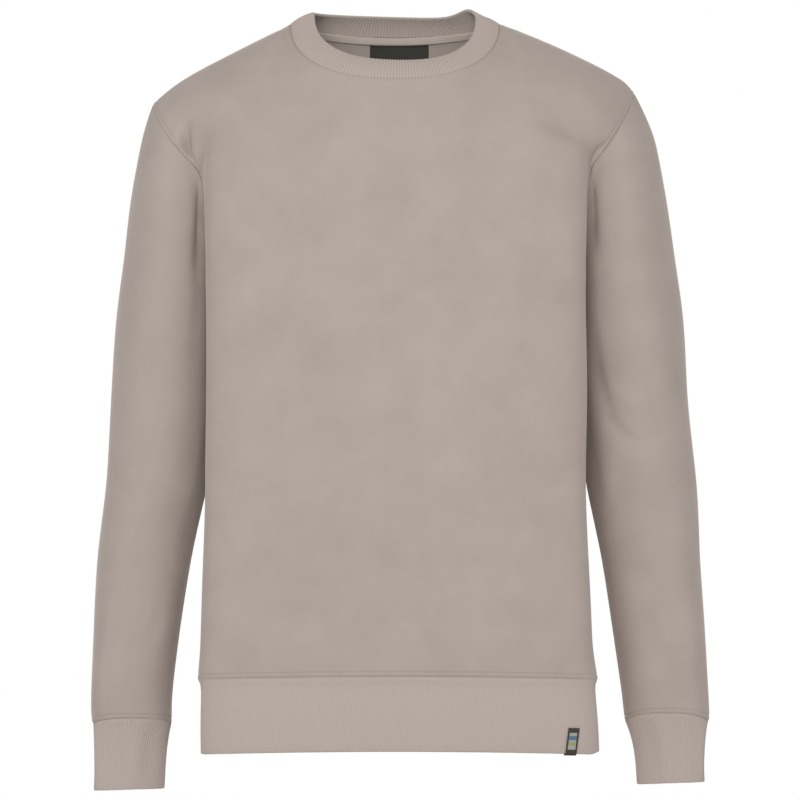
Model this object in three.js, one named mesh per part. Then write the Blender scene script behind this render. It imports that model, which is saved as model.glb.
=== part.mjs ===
// Crewneck sweatshirt, filled out as it is worn, hollow, with no wearer. Millimetres, +Z up, the front facing -Y.
// The origin is at the wearer's neck, level with the points where the shoulder seams meet the collar.
// Left and right are as seen by someone who looks at the front.
import * as THREE from "three";

// Driving dimensions.
const CLOTH = 2; // brushed sweatshirt cloth of the body and sleeves
const RIB_CLOTH = 2.8; // doubled rib of the collar, cuffs and hem
const LABEL_CLOTH = 1; // woven labels and the neck tape
const SEAM_GAP = 0.4; // between two pieces that are sewn together
const LAID_GAP = 0.45; // between a label or tape and the cloth it lies on
const RIB_RELIEF = 0.7; // from the top of a rib to the bottom of its groove
const RIB_PITCH = 2.15; // hem and cuffs
const COLLAR_RIB_PITCH = 2.55; // the collar's rib is stretched round the neck
const HEM_SEAM_Z = -630;
const HEM_BOTTOM_Z = -702;
const HEM_ARCH = 3; // the front of the hem rides up this much in the middle
const UNDERARM_Z = -240;
const SLEEVE_LEVEL_Z = -320; // below this the rings of a sleeve lie level
const NECK_X = -2; // the neck sits this far left of the body's middle
const TAPE = { middle: -2, half: 76, top: -3.6, bottom: -11.6 }; // heights count from the back neck seam
const NECK_LABEL = { middle: 2, half: 28, top: -12, bottom: -48 };
const HEM_LABEL = { from: 163.5, to: 174, height: 24 };

// How finely the pieces are divided.
const SHOULDER_STEPS = 4;
const NECK_STEPS = 7;
const ARMHOLE_STEPS = 11;
const LOWER_ROWS = [HEM_SEAM_Z, -590, -525, -455, -380, -305];
const SLEEVE_TOP_STEPS = [0, 0.08, 0.2, 0.36, 0.55, 0.77, 1];
const SLEEVE_ROWS = [-375, -430, -485, -535, -580, -620, -652];
const DENSE = 40;

// Sections of the body. left and right are where the front turns back under the arms, at the depth foldY.
// seam and seamY are the side seam; backFold is where the back turns forward; front and back are the middles.
const BODY = [
  { z: -702, left: 188.0, right: 193.8, foldY: -61, seam: 172, seamY: 6, backFold: 176, front: -110, back: 106 },
  { z: -630, left: 190.5, right: 192.0, foldY: -66, seam: 170, seamY: 7, backFold: 174, front: -115, back: 110 },
  { z: -590, left: 189.3, right: 187.8, foldY: -68, seam: 167, seamY: 8, backFold: 172, front: -118, back: 112 },
  { z: -460, left: 185.4, right: 183.4, foldY: -70, seam: 162, seamY: 10, backFold: 167, front: -119, back: 112 },
  { z: -360, left: 183.2, right: 182.9, foldY: -71, seam: 160, seamY: 12, backFold: 165, front: -119, back: 110 },
  { z: -270, left: 183.8, right: 181.6, foldY: -72, seam: 160, seamY: 12, backFold: 165, front: -119, back: 110 },
  { z: -210, left: 185.6, right: 183.4, foldY: -71, seam: 160, seamY: 12, backFold: 167, front: -117, back: 111 },
  { z: -145, left: 190.0, right: 187.4, foldY: -68, seam: 160, seamY: 12, backFold: 172, front: -111, back: 108 },
  { z: -70, left: 190.0, right: 187.4, foldY: -62, seam: 160, seamY: 12, backFold: 172, front: -102, back: 98 },
];

// The armhole seam from the underarm (rise 0) to the shoulder tip (rise 1), as distances from the middle.
const ARMHOLE = [
  { rise: 0.0, left: 160.5, right: 160.0, frontY: 12, backLeft: 160.5, backRight: 160.0, backY: 12 },
  { rise: 0.11, left: 168.5, right: 167.5, frontY: -10, backLeft: 165.0, backRight: 165.0, backY: 42 },
  { rise: 0.28, left: 178.5, right: 176.5, frontY: -30, backLeft: 169.0, backRight: 168.5, backY: 62 },
  { rise: 0.46, left: 185.0, right: 183.0, frontY: -37, backLeft: 176.0, backRight: 175.0, backY: 72 },
  { rise: 0.59, left: 189.5, right: 187.0, frontY: -38, backLeft: 187.0, backRight: 185.0, backY: 73 },
  { rise: 0.72, left: 208.0, right: 203.5, frontY: -40, backLeft: 205.0, backRight: 201.0, backY: 66 },
  { rise: 0.81, left: 220.5, right: 213.0, frontY: -35, backLeft: 219.0, backRight: 212.0, backY: 53 },
  { rise: 0.91, left: 229.5, right: 222.5, frontY: -18, backLeft: 229.0, backRight: 222.5, backY: 30 },
  { rise: 1.0, left: 233.5, right: 227.5, frontY: 2, backLeft: 233.5, backRight: 227.5, backY: 2 },
];

// How far the front is tucked behind the fold in front of the armhole: 1 under the arm, 0 above the fold's end.
const TUCK = [
  { z: -166, left: 1, right: 1 },
  { z: -148, left: 1, right: 0.9 },
  { z: -132, left: 0.8, right: 0.4 },
  { z: -114, left: 0.35, right: 0 },
  { z: -97, left: 0, right: 0 },
];

// The shoulder seam from the tip to the neck, as distances from the middle.
const SHOULDER = {
  left: [
    { f: 0, x: 233.5, z: -79 },
    { f: 0.18, x: 208, z: -57 },
    { f: 0.6, x: 152, z: -26 },
    { f: 1, x: 102.5, z: -2.5 },
  ],
  right: [
    { f: 0, x: 227.5, z: -69 },
    { f: 0.15, x: 214, z: -55 },
    { f: 0.55, x: 158, z: -27 },
    { f: 1, x: 98.5, z: -2.5 },
  ],
};
const SHOULDER_Y = 2;

// The neck seam and the collar's top edge: half width, and the depth and drop of front and back.
const NECK_SEAM = { half: 100.5, z: -2.5, frontY: -85, frontZ: -55.2, backY: 78, backZ: -14, bend: 2.33, tilt: 0 };
const COLLAR_TOP = { half: 77.2, z: 8.1, frontY: -71, frontZ: -36.5, backY: 71, backZ: 5.6, bend: 2.5, tilt: -1.5 };
const COLLAR_BULGE = 1.6;

// Sections of the sleeves: outer and inner edge seen from the front, and the middle and half of the depth.
const SLEEVES = {
  left: [
    { z: -673, outer: 292.0, inner: 217.0, mid: 34, half: 37 },
    { z: -651, outer: 294.0, inner: 216.5, mid: 34, half: 41 },
    { z: -593, outer: 291.8, inner: 209.5, mid: 33, half: 45 },
    { z: -516, outer: 287.4, inner: 197.0, mid: 30, half: 50 },
    { z: -478, outer: 283.2, inner: 189.2, mid: 28, half: 53 },
    { z: -440, outer: 279.0, inner: 181.0, mid: 27, half: 56 },
    { z: -363, outer: 274.6, inner: 173.0, mid: 25, half: 60 },
    { z: -286, outer: 269.2, inner: 168.5, mid: 21, half: 65 },
    { z: -228, outer: 262.2, inner: 165.5, mid: 17, half: 69 },
    { z: -171, outer: 256.0, inner: 166.0, mid: 10, half: 68 },
    { z: -113, outer: 245.0, inner: 170.0, mid: 5, half: 60 },
    { z: -95, outer: 239.4, inner: 175.0, mid: 3, half: 52 },
    { z: -79, outer: 233.5, inner: 180.0, mid: 2, half: 45 },
  ],
  right: [
    { z: -671, outer: 299.0, inner: 219.5, mid: 34, half: 37 },
    { z: -651, outer: 299.6, inner: 217.0, mid: 34, half: 41 },
    { z: -593, outer: 296.4, inner: 208.3, mid: 33, half: 45 },
    { z: -516, outer: 290.8, inner: 196.0, mid: 30, half: 50 },
    { z: -478, outer: 289.6, inner: 188.4, mid: 28, half: 53 },
    { z: -440, outer: 287.6, inner: 181.0, mid: 27, half: 56 },
    { z: -363, outer: 279.4, inner: 173.0, mid: 25, half: 60 },
    { z: -286, outer: 274.6, inner: 168.5, mid: 21, half: 65 },
    { z: -228, outer: 267.0, inner: 165.5, mid: 17, half: 69 },
    { z: -171, outer: 259.2, inner: 166.0, mid: 10, half: 68 },
    { z: -113, outer: 247.8, inner: 169.0, mid: 5, half: 60 },
    { z: -95, outer: 240.6, inner: 174.0, mid: 3, half: 52 },
    { z: -69, outer: 227.5, inner: 178.0, mid: 2, half: 45 },
  ],
};

// Cuffs: centre and half sizes of the bottom ring, the length, how far the seam arches up at the front,
// and how far the bottom ring lies above its middle height on the inner side.
const CUFFS = {
  left: { x: -257.5, y: 33, halfX: 33.8, halfY: 27, length: 64.2, seamArch: 4.5, slope: 1 },
  right: { x: 263.2, y: 33, halfX: 32.4, halfY: 27, length: 60, seamArch: 7.5, slope: -1.1 },
};

// The largest folds of the sleeves: soft troughs at an angle round it, 0 inside, 90 in front, 180 outside.
const SLEEVE_FOLDS = {
  left: [
    { angle: 38, z: -370, across: 22, along: 120, depth: 4 },
    { angle: 250, z: -400, across: 24, along: 90, depth: 4 },
    { angle: 330, z: -470, across: 22, along: 70, depth: 3 },
  ],
  right: [
    { angle: 42, z: -355, across: 22, along: 90, depth: 4 },
    { angle: 60, z: -440, across: 20, along: 40, depth: -3 },
    { angle: 265, z: -390, across: 24, along: 100, depth: 4 },
  ],
};

// The largest folds of the body: soft troughs on the front and back, placed from the middle.
const BODY_FOLDS = {
  front: [
    { x: -125, z: -500, across: 34, along: 150, depth: 2.5 },
    { x: 132, z: -470, across: 34, along: 160, depth: 2.5 },
  ],
  back: [
    { x: -70, z: -430, across: 40, along: 170, depth: 4 },
    { x: 82, z: -470, across: 38, along: 150, depth: 4 },
    { x: 4, z: -560, across: 36, along: 90, depth: 3 },
  ],
};

const COLOURS = { cloth: "#b1a59e", rib: "#b0a49c", tape: "#a89c95", label: "#312e26" };

const clamp01 = (value) => Math.min(1, Math.max(0, value));
const mix = (a, b, f) => a + (b - a) * f;
const radians = (degrees) => (degrees * Math.PI) / 180;
const point = (x, y, z) => new THREE.Vector3(x, y, z);

// A column of a table, read smoothly at a place along the table's key column.
function read(table, key, column, place) {
  const last = table.length - 1;
  let i = 0;
  while (i < last - 1 && place > table[i + 1][key]) i++;
  const slope = (k) => {
    const before = table[Math.max(k - 1, 0)];
    const after = table[Math.min(k + 1, last)];
    return (after[column] - before[column]) / (after[key] - before[key]);
  };
  const step = table[i + 1][key] - table[i][key];
  const f = clamp01((place - table[i][key]) / step);
  const rise = table[i + 1][column] - table[i][column];
  const startSlope = slope(i) * step;
  const endSlope = slope(i + 1) * step;
  const bow = f * (1 - f) * ((startSlope - rise) * (1 - f) + (rise - endSlope) * f);
  return table[i][column] + rise * f + bow;
}

// A line of points, spread again at even steps along its length.
function spread(line, steps) {
  const along = [0];
  for (let i = 1; i < line.length; i++) along.push(along[i - 1] + line[i].distanceTo(line[i - 1]));
  const result = [];
  let j = 0;
  for (let i = 0; i <= steps; i++) {
    const want = (along[line.length - 1] * i) / steps;
    while (j < line.length - 2 && along[j + 1] < want) j++;
    const f = clamp01((want - along[j]) / (along[j + 1] - along[j] || 1));
    result.push(line[j].clone().lerp(line[j + 1], f));
  }
  return result;
}

const signOf = (side) => (side === "left" ? -1 : 1);

// Half a section of the body at one height, from its side or armhole seam to the middle, as points.
function halfSection(side, face, z, start) {
  const front = face === "front";
  const foldX = front ? read(BODY, "z", side, z) : read(BODY, "z", "backFold", z);
  const foldY = front ? read(BODY, "z", "foldY", z) : 58;
  const middleY = read(BODY, "z", face, z);
  const bend = 2 / (front ? 2.5 : 2.3);
  const beside = front ? read(TUCK, "z", side, z) : 0;
  const turned = start.x < foldX ? 1 : beside;
  const corner = { x: mix(start.x, foldX, turned), y: mix(start.y, foldY, turned) };
  const line = [];
  if (turned > 0) {
    for (let i = 0; i < DENSE; i++) {
      const f = i / DENSE;
      const x = mix(start.x, corner.x, front ? f ** 1.25 : Math.sin((f * Math.PI) / 2));
      line.push(point(signOf(side) * x, mix(start.y, corner.y, f), z));
    }
  }
  for (let i = 0; i <= DENSE; i++) {
    const turn = (i / DENSE) * (Math.PI / 2);
    const x = i === DENSE ? 0 : corner.x * Math.cos(turn) ** bend;
    line.push(point(signOf(side) * x, mix(corner.y, middleY, Math.sin(turn) ** bend), z));
  }
  return line;
}

// A ring round the neck at an angle from the middle of the back: 0 back, 180 front, 90 at the right.
function neckPoint(ring, angle) {
  const turn = radians(angle);
  const back = Math.cos(turn) > 0;
  const power = 2 / ring.bend;
  const across = Math.sign(Math.sin(turn)) * Math.abs(Math.sin(turn)) ** power;
  const depth = Math.abs(Math.cos(turn)) ** power;
  const x = NECK_X + ring.half * across;
  const y = SHOULDER_Y + (back ? ring.backY : ring.frontY) * depth;
  const z = mix(ring.z, back ? ring.backZ : ring.frontZ, back ? depth ** 1.5 : depth);
  return point(x, y, z + ring.tilt * across);
}

// The top edge of a panel's half: along the shoulder seam, then round the neck to the middle.
function topEdge(side, face) {
  const table = SHOULDER[side];
  const shoulder = [];
  for (let i = 0; i <= DENSE; i++) {
    const f = i / DENSE;
    shoulder.push(point(signOf(side) * read(table, "f", "x", f), SHOULDER_Y, read(table, "f", "z", f)));
  }
  const neck = [];
  for (let i = 0; i <= DENSE; i++) {
    const fromSide = (i / DENSE) * 90;
    const angle = face === "front" ? 90 + fromSide : 90 - fromSide;
    neck.push(neckPoint(NECK_SEAM, signOf(side) * angle));
  }
  neck[0] = shoulder[DENSE];
  return [...spread(shoulder, SHOULDER_STEPS), ...spread(neck, NECK_STEPS).slice(1)];
}

// A soft trough or ridge that fades out along and across its length.
const troughDepth = (fold, across, along) =>
  fold.depth * Math.exp(-((across / fold.across) ** 2) - (along / fold.along) ** 2);

// Half a panel as rows of points, from the hem seam to the top edge, each from the side to the middle.
function halfPanel(side, face) {
  const steps = SHOULDER_STEPS + NECK_STEPS;
  const rows = LOWER_ROWS.map((z) => {
    const seam = { x: read(BODY, "z", "seam", z), y: read(BODY, "z", "seamY", z) };
    return spread(halfSection(side, face, z, seam), steps);
  });
  const top = topEdge(side, face);
  const backColumn = side === "left" ? "backLeft" : "backRight";
  const armhole = (rise) => ({
    x: read(ARMHOLE, "rise", face === "front" ? side : backColumn, rise),
    y: read(ARMHOLE, "rise", face === "front" ? "frontY" : "backY", rise),
  });
  const flat = spread(halfSection(side, face, top[0].z, armhole(1)), steps);
  for (let k = 0; k <= ARMHOLE_STEPS; k++) {
    const f = k / ARMHOLE_STEPS;
    const rise = Math.sin(radians(88 * f)) / Math.sin(radians(88));
    const base = spread(halfSection(side, face, mix(UNDERARM_Z, top[0].z, rise), armhole(rise)), steps);
    rows.push(
      base.map((p, i) => {
        const round = radians(mix(88, 52, clamp01((i - SHOULDER_STEPS) / NECK_STEPS)));
        const lift = Math.sin(f * round) / Math.sin(round);
        const lean = (1 - Math.cos(f * round)) / (1 - Math.cos(round));
        const x = p.x + (top[i].x - flat[i].x) * lean;
        const y = p.y + (top[i].y - flat[i].y) * lean;
        return point(x, y, mix(UNDERARM_Z, top[i].z, lift));
      }),
    );
  }
  const outward = face === "front" ? -1 : 1;
  rows.slice(0, -1).forEach((row, k) =>
    row.slice(1).forEach((p) => {
      const away = clamp01(Math.abs(p.y) / 90);
      for (const fold of BODY_FOLDS[face]) {
        p.y -= outward * away * troughDepth(fold, p.x - fold.x, p.z - fold.z);
      }
      if (k === 0 && face === "front") p.z += HEM_ARCH * (1 - (p.x / 190) ** 2) * away;
    }),
  );
  return rows;
}

// A whole panel: the left half, then the right half mirrored back to its side.
function panel(face) {
  const left = halfPanel("left", face);
  const right = halfPanel("right", face);
  return left.map((row, k) => [...row, ...right[k].slice(0, -1).reverse()]);
}

// A point of a sleeve's section at one height, at an angle round it.
function sleevePoint(side, angle, z) {
  const table = SLEEVES[side];
  const outer = read(table, "z", "outer", z);
  const inner = read(table, "z", "inner", z);
  const turn = radians(angle);
  let away = 0;
  for (const fold of SLEEVE_FOLDS[side]) {
    const across = (((angle - fold.angle + 540) % 360) - 180) * radians(1) * 55;
    away -= troughDepth(fold, across, z - fold.z);
  }
  const x = (outer + inner) / 2 - ((outer - inner) / 2 + away) * Math.cos(turn);
  const y = read(table, "z", "mid", z) - (read(table, "z", "half", z) + away) * Math.sin(turn);
  return point(signOf(side) * x, y, z);
}

// How high a cuff's seam stands at an angle round it: the front rides up.
function cuffSeamZ(side, angle) {
  const turn = radians(angle);
  return SLEEVES[side][0].z + CUFFS[side].seamArch * Math.max(0, Math.sin(turn)) ** 1.5;
}

// A sleeve as rings of points, from the armhole that its panels give to the cuff seam.
function sleeve(side, front, back) {
  const column = (row) => (side === "left" ? row[0] : row[row.length - 1]);
  const up = front.slice(LOWER_ROWS.length).map(column);
  const down = back.slice(LOWER_ROWS.length, -1).map(column).reverse();
  const armhole = [...up, ...down.slice(0, -1)];
  const angles = armhole.map((_, j) => (360 * j) / armhole.length);
  const rings = SLEEVE_TOP_STEPS.map((f) =>
    armhole.map((p, j) => {
      const held = p.clone().sub(sleevePoint(side, angles[j], p.z));
      const z = mix(p.z, SLEEVE_LEVEL_Z, f);
      const here = sleevePoint(side, angles[j], z).addScaledVector(held, (1 - f) ** 2);
      here.z = z;
      return here;
    }),
  );
  for (const z of SLEEVE_ROWS) rings.push(angles.map((angle) => sleevePoint(side, angle, z)));
  rings.push(
    angles.map((angle) => {
      const p = sleevePoint(side, angle, SLEEVES[side][0].z);
      p.z = cuffSeamZ(side, angle);
      return p;
    }),
  );
  return rings;
}

// The outward normal at each point of a grid, from its neighbours along the row and between rows.
function normalsOf(grid, closed) {
  return grid.map((row, r) =>
    row.map((_, c) => {
      const wide = row.length;
      const nextC = closed ? (c + 1) % wide : Math.min(c + 1, wide - 1);
      const lastC = closed ? (c + wide - 1) % wide : Math.max(c - 1, 0);
      const along = row[nextC].clone().sub(row[lastC]);
      const across = grid[Math.min(r + 1, grid.length - 1)][c].clone().sub(grid[Math.max(r - 1, 0)][c]);
      return along.cross(across).normalize();
    }),
  );
}

// Normals of pieces that are sewn together are shared along their seam, where both face the same way.
function shareSeams(pieces) {
  const seams = new Map();
  const key = (p) => [p.x, p.y, p.z].map((v) => v.toFixed(2)).join(" ");
  const each = (visit) =>
    pieces.forEach((piece) =>
      piece.grid.forEach((row, r) => row.forEach((p, c) => visit(key(p), piece.normals[r][c], piece, r, c))),
    );
  each((place, normal) => seams.set(place, [...(seams.get(place) || []), normal.clone()]));
  each((place, normal, piece, r, c) => {
    const sum = point(0, 0, 0);
    for (const other of seams.get(place)) if (other.dot(normal) > 0.1) sum.add(other);
    sum.normalize();
    piece.normals[r][c] = sum.divideScalar(Math.max(0.75, sum.dot(normal)));
  });
}

// Points on the sewn edges of a piece are drawn back towards its inside, which leaves the seam's gap.
function drawBack(grid, edges) {
  const half = SEAM_GAP / 2;
  const pull = (p, towards) => p.addScaledVector(towards.clone().sub(p).normalize(), half);
  const last = grid.length - 1;
  if (edges.includes("first")) grid[0].forEach((p, c) => pull(p, grid[1][c]));
  if (edges.includes("last")) grid[last].forEach((p, c) => pull(p, grid[last - 1][c]));
  if (edges.includes("sides")) {
    for (const row of grid) {
      pull(row[0], row[1]);
      pull(row[row.length - 1], row[row.length - 2]);
    }
  }
}

// Below the underarm a sleeve lies beside the body, so its rings stand this much further out.
function standClear(rings, side) {
  for (const p of rings.flat()) p.x += signOf(side) * SEAM_GAP * clamp01(-(p.z + 140) / 100);
}

// A closed shell from an outer and an inner grid. An inner row may have fewer points than an outer one.
function shell(outer, inner, closed) {
  const positions = [];
  const index = [];
  const place = (grid) =>
    grid.map((row) =>
      row.map((p) => {
        positions.push(p.x, p.y, p.z);
        return positions.length / 3 - 1;
      }),
    );
  const out = place(outer);
  const inn = place(inner);
  const skin = (grid, turned) => {
    for (let r = 0; r + 1 < grid.length; r++) {
      const wide = grid[r].length;
      for (let c = 0; c + (closed ? 0 : 1) < wide; c++) {
        const d = (c + 1) % wide;
        const quad = [grid[r][c], grid[r][d], grid[r + 1][d], grid[r + 1][c]];
        const [p, q, s, t] = turned ? [quad[1], quad[0], quad[3], quad[2]] : quad;
        index.push(p, q, s, p, s, t);
      }
    }
  };
  skin(out, false);
  skin(inn, true);
  // A rim joins two lines whose points are spread alike, taking a step on whichever has gone less far.
  const rim = (a, b, turned) => {
    const lengthA = closed ? a.length : a.length - 1;
    const lengthB = closed ? b.length : b.length - 1;
    let i = 0;
    let j = 0;
    while (i < lengthA || j < lengthB) {
      const here = a[i % a.length];
      const there = b[j % b.length];
      const onA = j >= lengthB || (i < lengthA && (i + 1) / lengthA <= (j + 1) / lengthB);
      const next = onA ? a[(i + 1) % a.length] : b[(j + 1) % b.length];
      index.push(...(turned ? [here, next, there] : [next, here, there]));
      if (onA) i++;
      else j++;
    }
  };
  const last = out.length - 1;
  rim(out[0], inn[0], false);
  rim(out[last], inn[last], true);
  if (!closed) {
    rim(out.map((row) => row[0]), inn.map((row) => row[0]), true);
    rim(out.map((row) => row[row.length - 1]), inn.map((row) => row[row.length - 1]), false);
  }
  const geometry = new THREE.BufferGeometry();
  geometry.setAttribute("position", new THREE.Float32BufferAttribute(positions, 3));
  geometry.setIndex(index);
  geometry.computeVertexNormals();
  return geometry;
}

// The grid moved along its normals, out by a positive distance.
const moved = (grid, normals, distance) =>
  grid.map((row, r) => row.map((p, c) => p.clone().addScaledVector(normals[r][c], distance)));

// A closed line of points round a ring, spread at even steps, starting where the line starts.
const spreadRing = (line, steps) => spread([...line, line[0]], steps).slice(0, -1);

// A ribbed tube: rings of outer points with a rib between every second one, over a plain inside.
// A level tube has its wall measured level, so that its rims stay flat against the pieces above.
function ribTube(rings, ribs, insideSteps, level) {
  const outer = rings.map((ring) => spreadRing(ring, ribs * 2));
  const normals = normalsOf(outer, true);
  const smooth = normals.map((row) =>
    row.map((_, c) => {
      const sum = point(0, 0, 0);
      for (let k = -3; k <= 3; k++) sum.add(row[(c + k + row.length) % row.length]);
      return sum.normalize();
    }),
  );
  const ribbed = outer.map((row, r) =>
    row.map((p, c) => p.clone().addScaledVector(smooth[r][c], c % 2 ? -RIB_RELIEF : 0)),
  );
  const plain = rings.map((ring) => spreadRing(ring, insideSteps));
  const inward = normalsOf(plain, true);
  if (level) for (const n of inward.flat()) n.setZ(0).normalize();
  return shell(ribbed, moved(plain, inward, -RIB_CLOTH), true);
}

// One closed ring of the body's lower edge at a height, anticlockwise from the left seam round the front.
function bodyRing(z, arch) {
  const seam = { x: read(BODY, "z", "seam", z), y: read(BODY, "z", "seamY", z) };
  const half = (side, face) => halfSection(side, face, z, seam);
  const ring = [
    ...half("left", "front").slice(0, -1),
    ...half("right", "front").reverse().slice(0, -1),
    ...half("right", "back").slice(0, -1),
    ...half("left", "back").reverse().slice(0, -1),
  ];
  for (const p of ring) if (p.y < 0) p.z += arch * Math.max(0, 1 - (p.x / 190) ** 2) * clamp01(-p.y / 90);
  return ring;
}

const ringLength = (ring) => ring.reduce((sum, p, i) => sum + p.distanceTo(ring[(i + 1) % ring.length]), 0);

// The hem band: a doubled rib tube from the hem seam down to its folded lower edge.
const hemRings = [bodyRing(HEM_SEAM_Z, HEM_ARCH), bodyRing(HEM_BOTTOM_Z, HEM_ARCH)];
for (const p of hemRings[0]) p.z -= SEAM_GAP;
const hemRibs = Math.round(ringLength(hemRings[1]) / RIB_PITCH);
const hemBand = () => ribTube([...hemRings].reverse(), hemRibs, 88, true);

// A cuff: a doubled rib tube from the sleeve's last ring down to the wrist.
function cuff(side) {
  const form = CUFFS[side];
  const bottomZ = SLEEVES[side][0].z - CUFFS[side].length;
  const top = [];
  const bottom = [];
  for (let angle = 0; angle < 360; angle += 5) {
    const p = sleevePoint(side, angle, SLEEVES[side][0].z);
    p.z = cuffSeamZ(side, angle) - SEAM_GAP;
    top.push(p);
    const turn = radians(angle);
    const x = form.x - signOf(side) * form.halfX * Math.cos(turn);
    bottom.push(point(x, form.y - form.halfY * Math.sin(turn), bottomZ + form.slope * Math.cos(turn)));
  }
  const middle = top.map((p, i) => {
    const q = p.clone().lerp(bottom[i], 0.3);
    q.x = mix(p.x, bottom[i].x, 0.62);
    q.y = mix(p.y, bottom[i].y, 0.62);
    return q;
  });
  const rings = [bottom, middle, top];
  if (side === "left") for (const ring of rings) ring.reverse();
  return ribTube(rings, Math.round(ringLength(bottom) / RIB_PITCH), 44, true);
}

// The collar: a doubled rib ring, from the neck seam that the panels give up to its folded top edge.
// Both of its lines start at the middle of the back and run to the left.
function collar(front, back) {
  const top = front.length - 1;
  const neckOf = (row) => row.slice(SHOULDER_STEPS, row.length - SHOULDER_STEPS);
  const frontNeck = neckOf(front[top]);
  const backNeck = neckOf(back[top]).reverse();
  const middle = (backNeck.length - 1) / 2;
  const seam = [...backNeck.slice(middle), ...frontNeck.slice(1), ...backNeck.slice(1, middle)];
  const edge = [];
  for (let angle = 0; angle < 360; angle += 4) edge.push(neckPoint(COLLAR_TOP, -angle));
  const steps = Math.round(ringLength(edge) / COLLAR_RIB_PITCH) * 2;
  const low = spreadRing(seam, steps);
  const high = spreadRing(edge, steps);
  const lifted = low.map((p, i) => p.clone().addScaledVector(high[i].clone().sub(p).normalize(), SEAM_GAP));
  const half = low.map((p, i) => p.clone().lerp(high[i], 0.5));
  const outward = normalsOf([low, high], true)[0];
  half.forEach((p, i) => p.addScaledVector(outward[i], COLLAR_BULGE));
  return ribTube([lifted, half, high], steps / 2, 72, false);
}

// A strip that lies inside the back panel, below the neck seam.
function backStrip(back, strip, steps) {
  const rows = [strip.bottom, (strip.top + strip.bottom) / 2, strip.top];
  const inside = (x, drop) => {
    const across = (x - NECK_X) / NECK_SEAM.half;
    const z = mix(NECK_SEAM.backZ, NECK_SEAM.z, across ** 2 * 0.9) + drop;
    const y = backInnerY(back, x, z);
    return point(x, y - LAID_GAP, z);
  };
  const outer = rows.map((drop) => {
    const row = [];
    for (let i = 0; i <= steps; i++) row.push(inside(strip.middle + strip.half * (2 * (i / steps) - 1), drop));
    return row;
  });
  const inner = outer.map((row) => row.map((p) => p.clone().add(point(0, -LABEL_CLOTH, 0))));
  return shell(inner, outer, false);
}

// How far back the inner face of the back panel lies at a place, found by a ray from the front.
function backInnerY(back, x, z) {
  const ray = new THREE.Raycaster(point(x, 0, z), point(0, 1, 0));
  const hit = ray.intersectObject(back, false)[0];
  return hit ? hit.point.y : 0;
}

// The hem label: a woven strip folded under the hem's lower edge, from the band's points moved out and in.
function hemLabel() {
  const [high, low] = hemRings;
  const frontAt = (x, rise) => {
    const band = low.map((p, k) => p.clone().lerp(high[k], rise / (high[k].z - p.z)));
    const line = band.filter((p) => p.y < 0);
    const i = line.findIndex((p, k) => k + 1 < line.length && p.x <= x && line[k + 1].x > x);
    return line[i].clone().lerp(line[i + 1], (x - line[i].x) / (line[i + 1].x - line[i].x));
  };
  const inward = -(RIB_CLOTH + LAID_GAP);
  const up = HEM_LABEL.height;
  const more = LABEL_CLOTH;
  const folded = [
    { away: LAID_GAP, rise: up, moreAway: more, moreRise: 0 },
    { away: LAID_GAP, rise: -LAID_GAP, moreAway: more, moreRise: -more },
    { away: inward, rise: -LAID_GAP, moreAway: -more, moreRise: -more },
    { away: inward, rise: up * 0.9, moreAway: -more, moreRise: 0 },
  ];
  const rowsOf = (thick) =>
    folded.map((s) =>
      [0, 0.5, 1].map((f) => {
        const x = mix(HEM_LABEL.from, HEM_LABEL.to, f);
        const here = frontAt(x, s.rise);
        const side = frontAt(x + 1, s.rise);
        const out = point(side.y - here.y, here.x - side.x, 0).normalize();
        return here.addScaledVector(out, s.away + thick * s.moreAway).add(point(0, 0, thick * s.moreRise));
      }),
    );
  return shell(rowsOf(1).reverse(), rowsOf(0).reverse(), false);
}

// A named mesh in its own colour.
function mesh(name, geometry, colour, roughness) {
  const material = new THREE.MeshStandardMaterial({ color: colour, roughness, metalness: 0 });
  const made = new THREE.Mesh(geometry, material);
  made.name = name;
  return made;
}

const front = panel("front");
const back = panel("back");
const sleeves = { left: sleeve("left", front, back), right: sleeve("right", front, back) };
const collarGeometry = collar(front, back);

// Rows run left to right on the front, from the bottom up. The back and left sleeve are turned to face out too.
const turned = (grid) => grid.map((row) => [...row].reverse());
const upward = { left: turned([...sleeves.left].reverse()), right: [...sleeves.right].reverse() };
const allEdges = ["first", "last", "sides"];
const ringEdges = ["first", "last"];
const sewn = [
  { name: "front_panel", grid: front, closed: false, edges: allEdges },
  { name: "back_panel", grid: turned(back), closed: false, edges: allEdges },
  { name: "sleeve_left", side: "left", grid: upward.left, closed: true, edges: ringEdges },
  { name: "sleeve_right", side: "right", grid: upward.right, closed: true, edges: ringEdges },
];
for (const piece of sewn) {
  piece.grid = piece.grid.map((row) => row.map((p) => p.clone()));
  piece.normals = normalsOf(piece.grid, piece.closed);
}
shareSeams(sewn);

const group = new THREE.Group();
for (const piece of sewn) {
  drawBack(piece.grid, piece.edges);
  if (piece.side) standClear(piece.grid, piece.side);
  const inner = moved(piece.grid, piece.normals, -CLOTH);
  group.add(mesh(piece.name, shell(piece.grid, inner, piece.closed), COLOURS.cloth, 0.95));
}
const backPanel = group.getObjectByName("back_panel");
group.add(mesh("hem_band", hemBand(), COLOURS.rib, 0.95));
group.add(mesh("cuff_left", cuff("left"), COLOURS.rib, 0.95));
group.add(mesh("cuff_right", cuff("right"), COLOURS.rib, 0.95));
group.add(mesh("collar", collarGeometry, COLOURS.rib, 0.95));
group.add(mesh("neck_tape", backStrip(backPanel, TAPE, 24), COLOURS.tape, 0.95));
group.add(mesh("neck_label", backStrip(backPanel, NECK_LABEL, 8), COLOURS.label, 0.8));
group.add(mesh("hem_label", hemLabel(), COLOURS.label, 0.8));

export default group;
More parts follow.
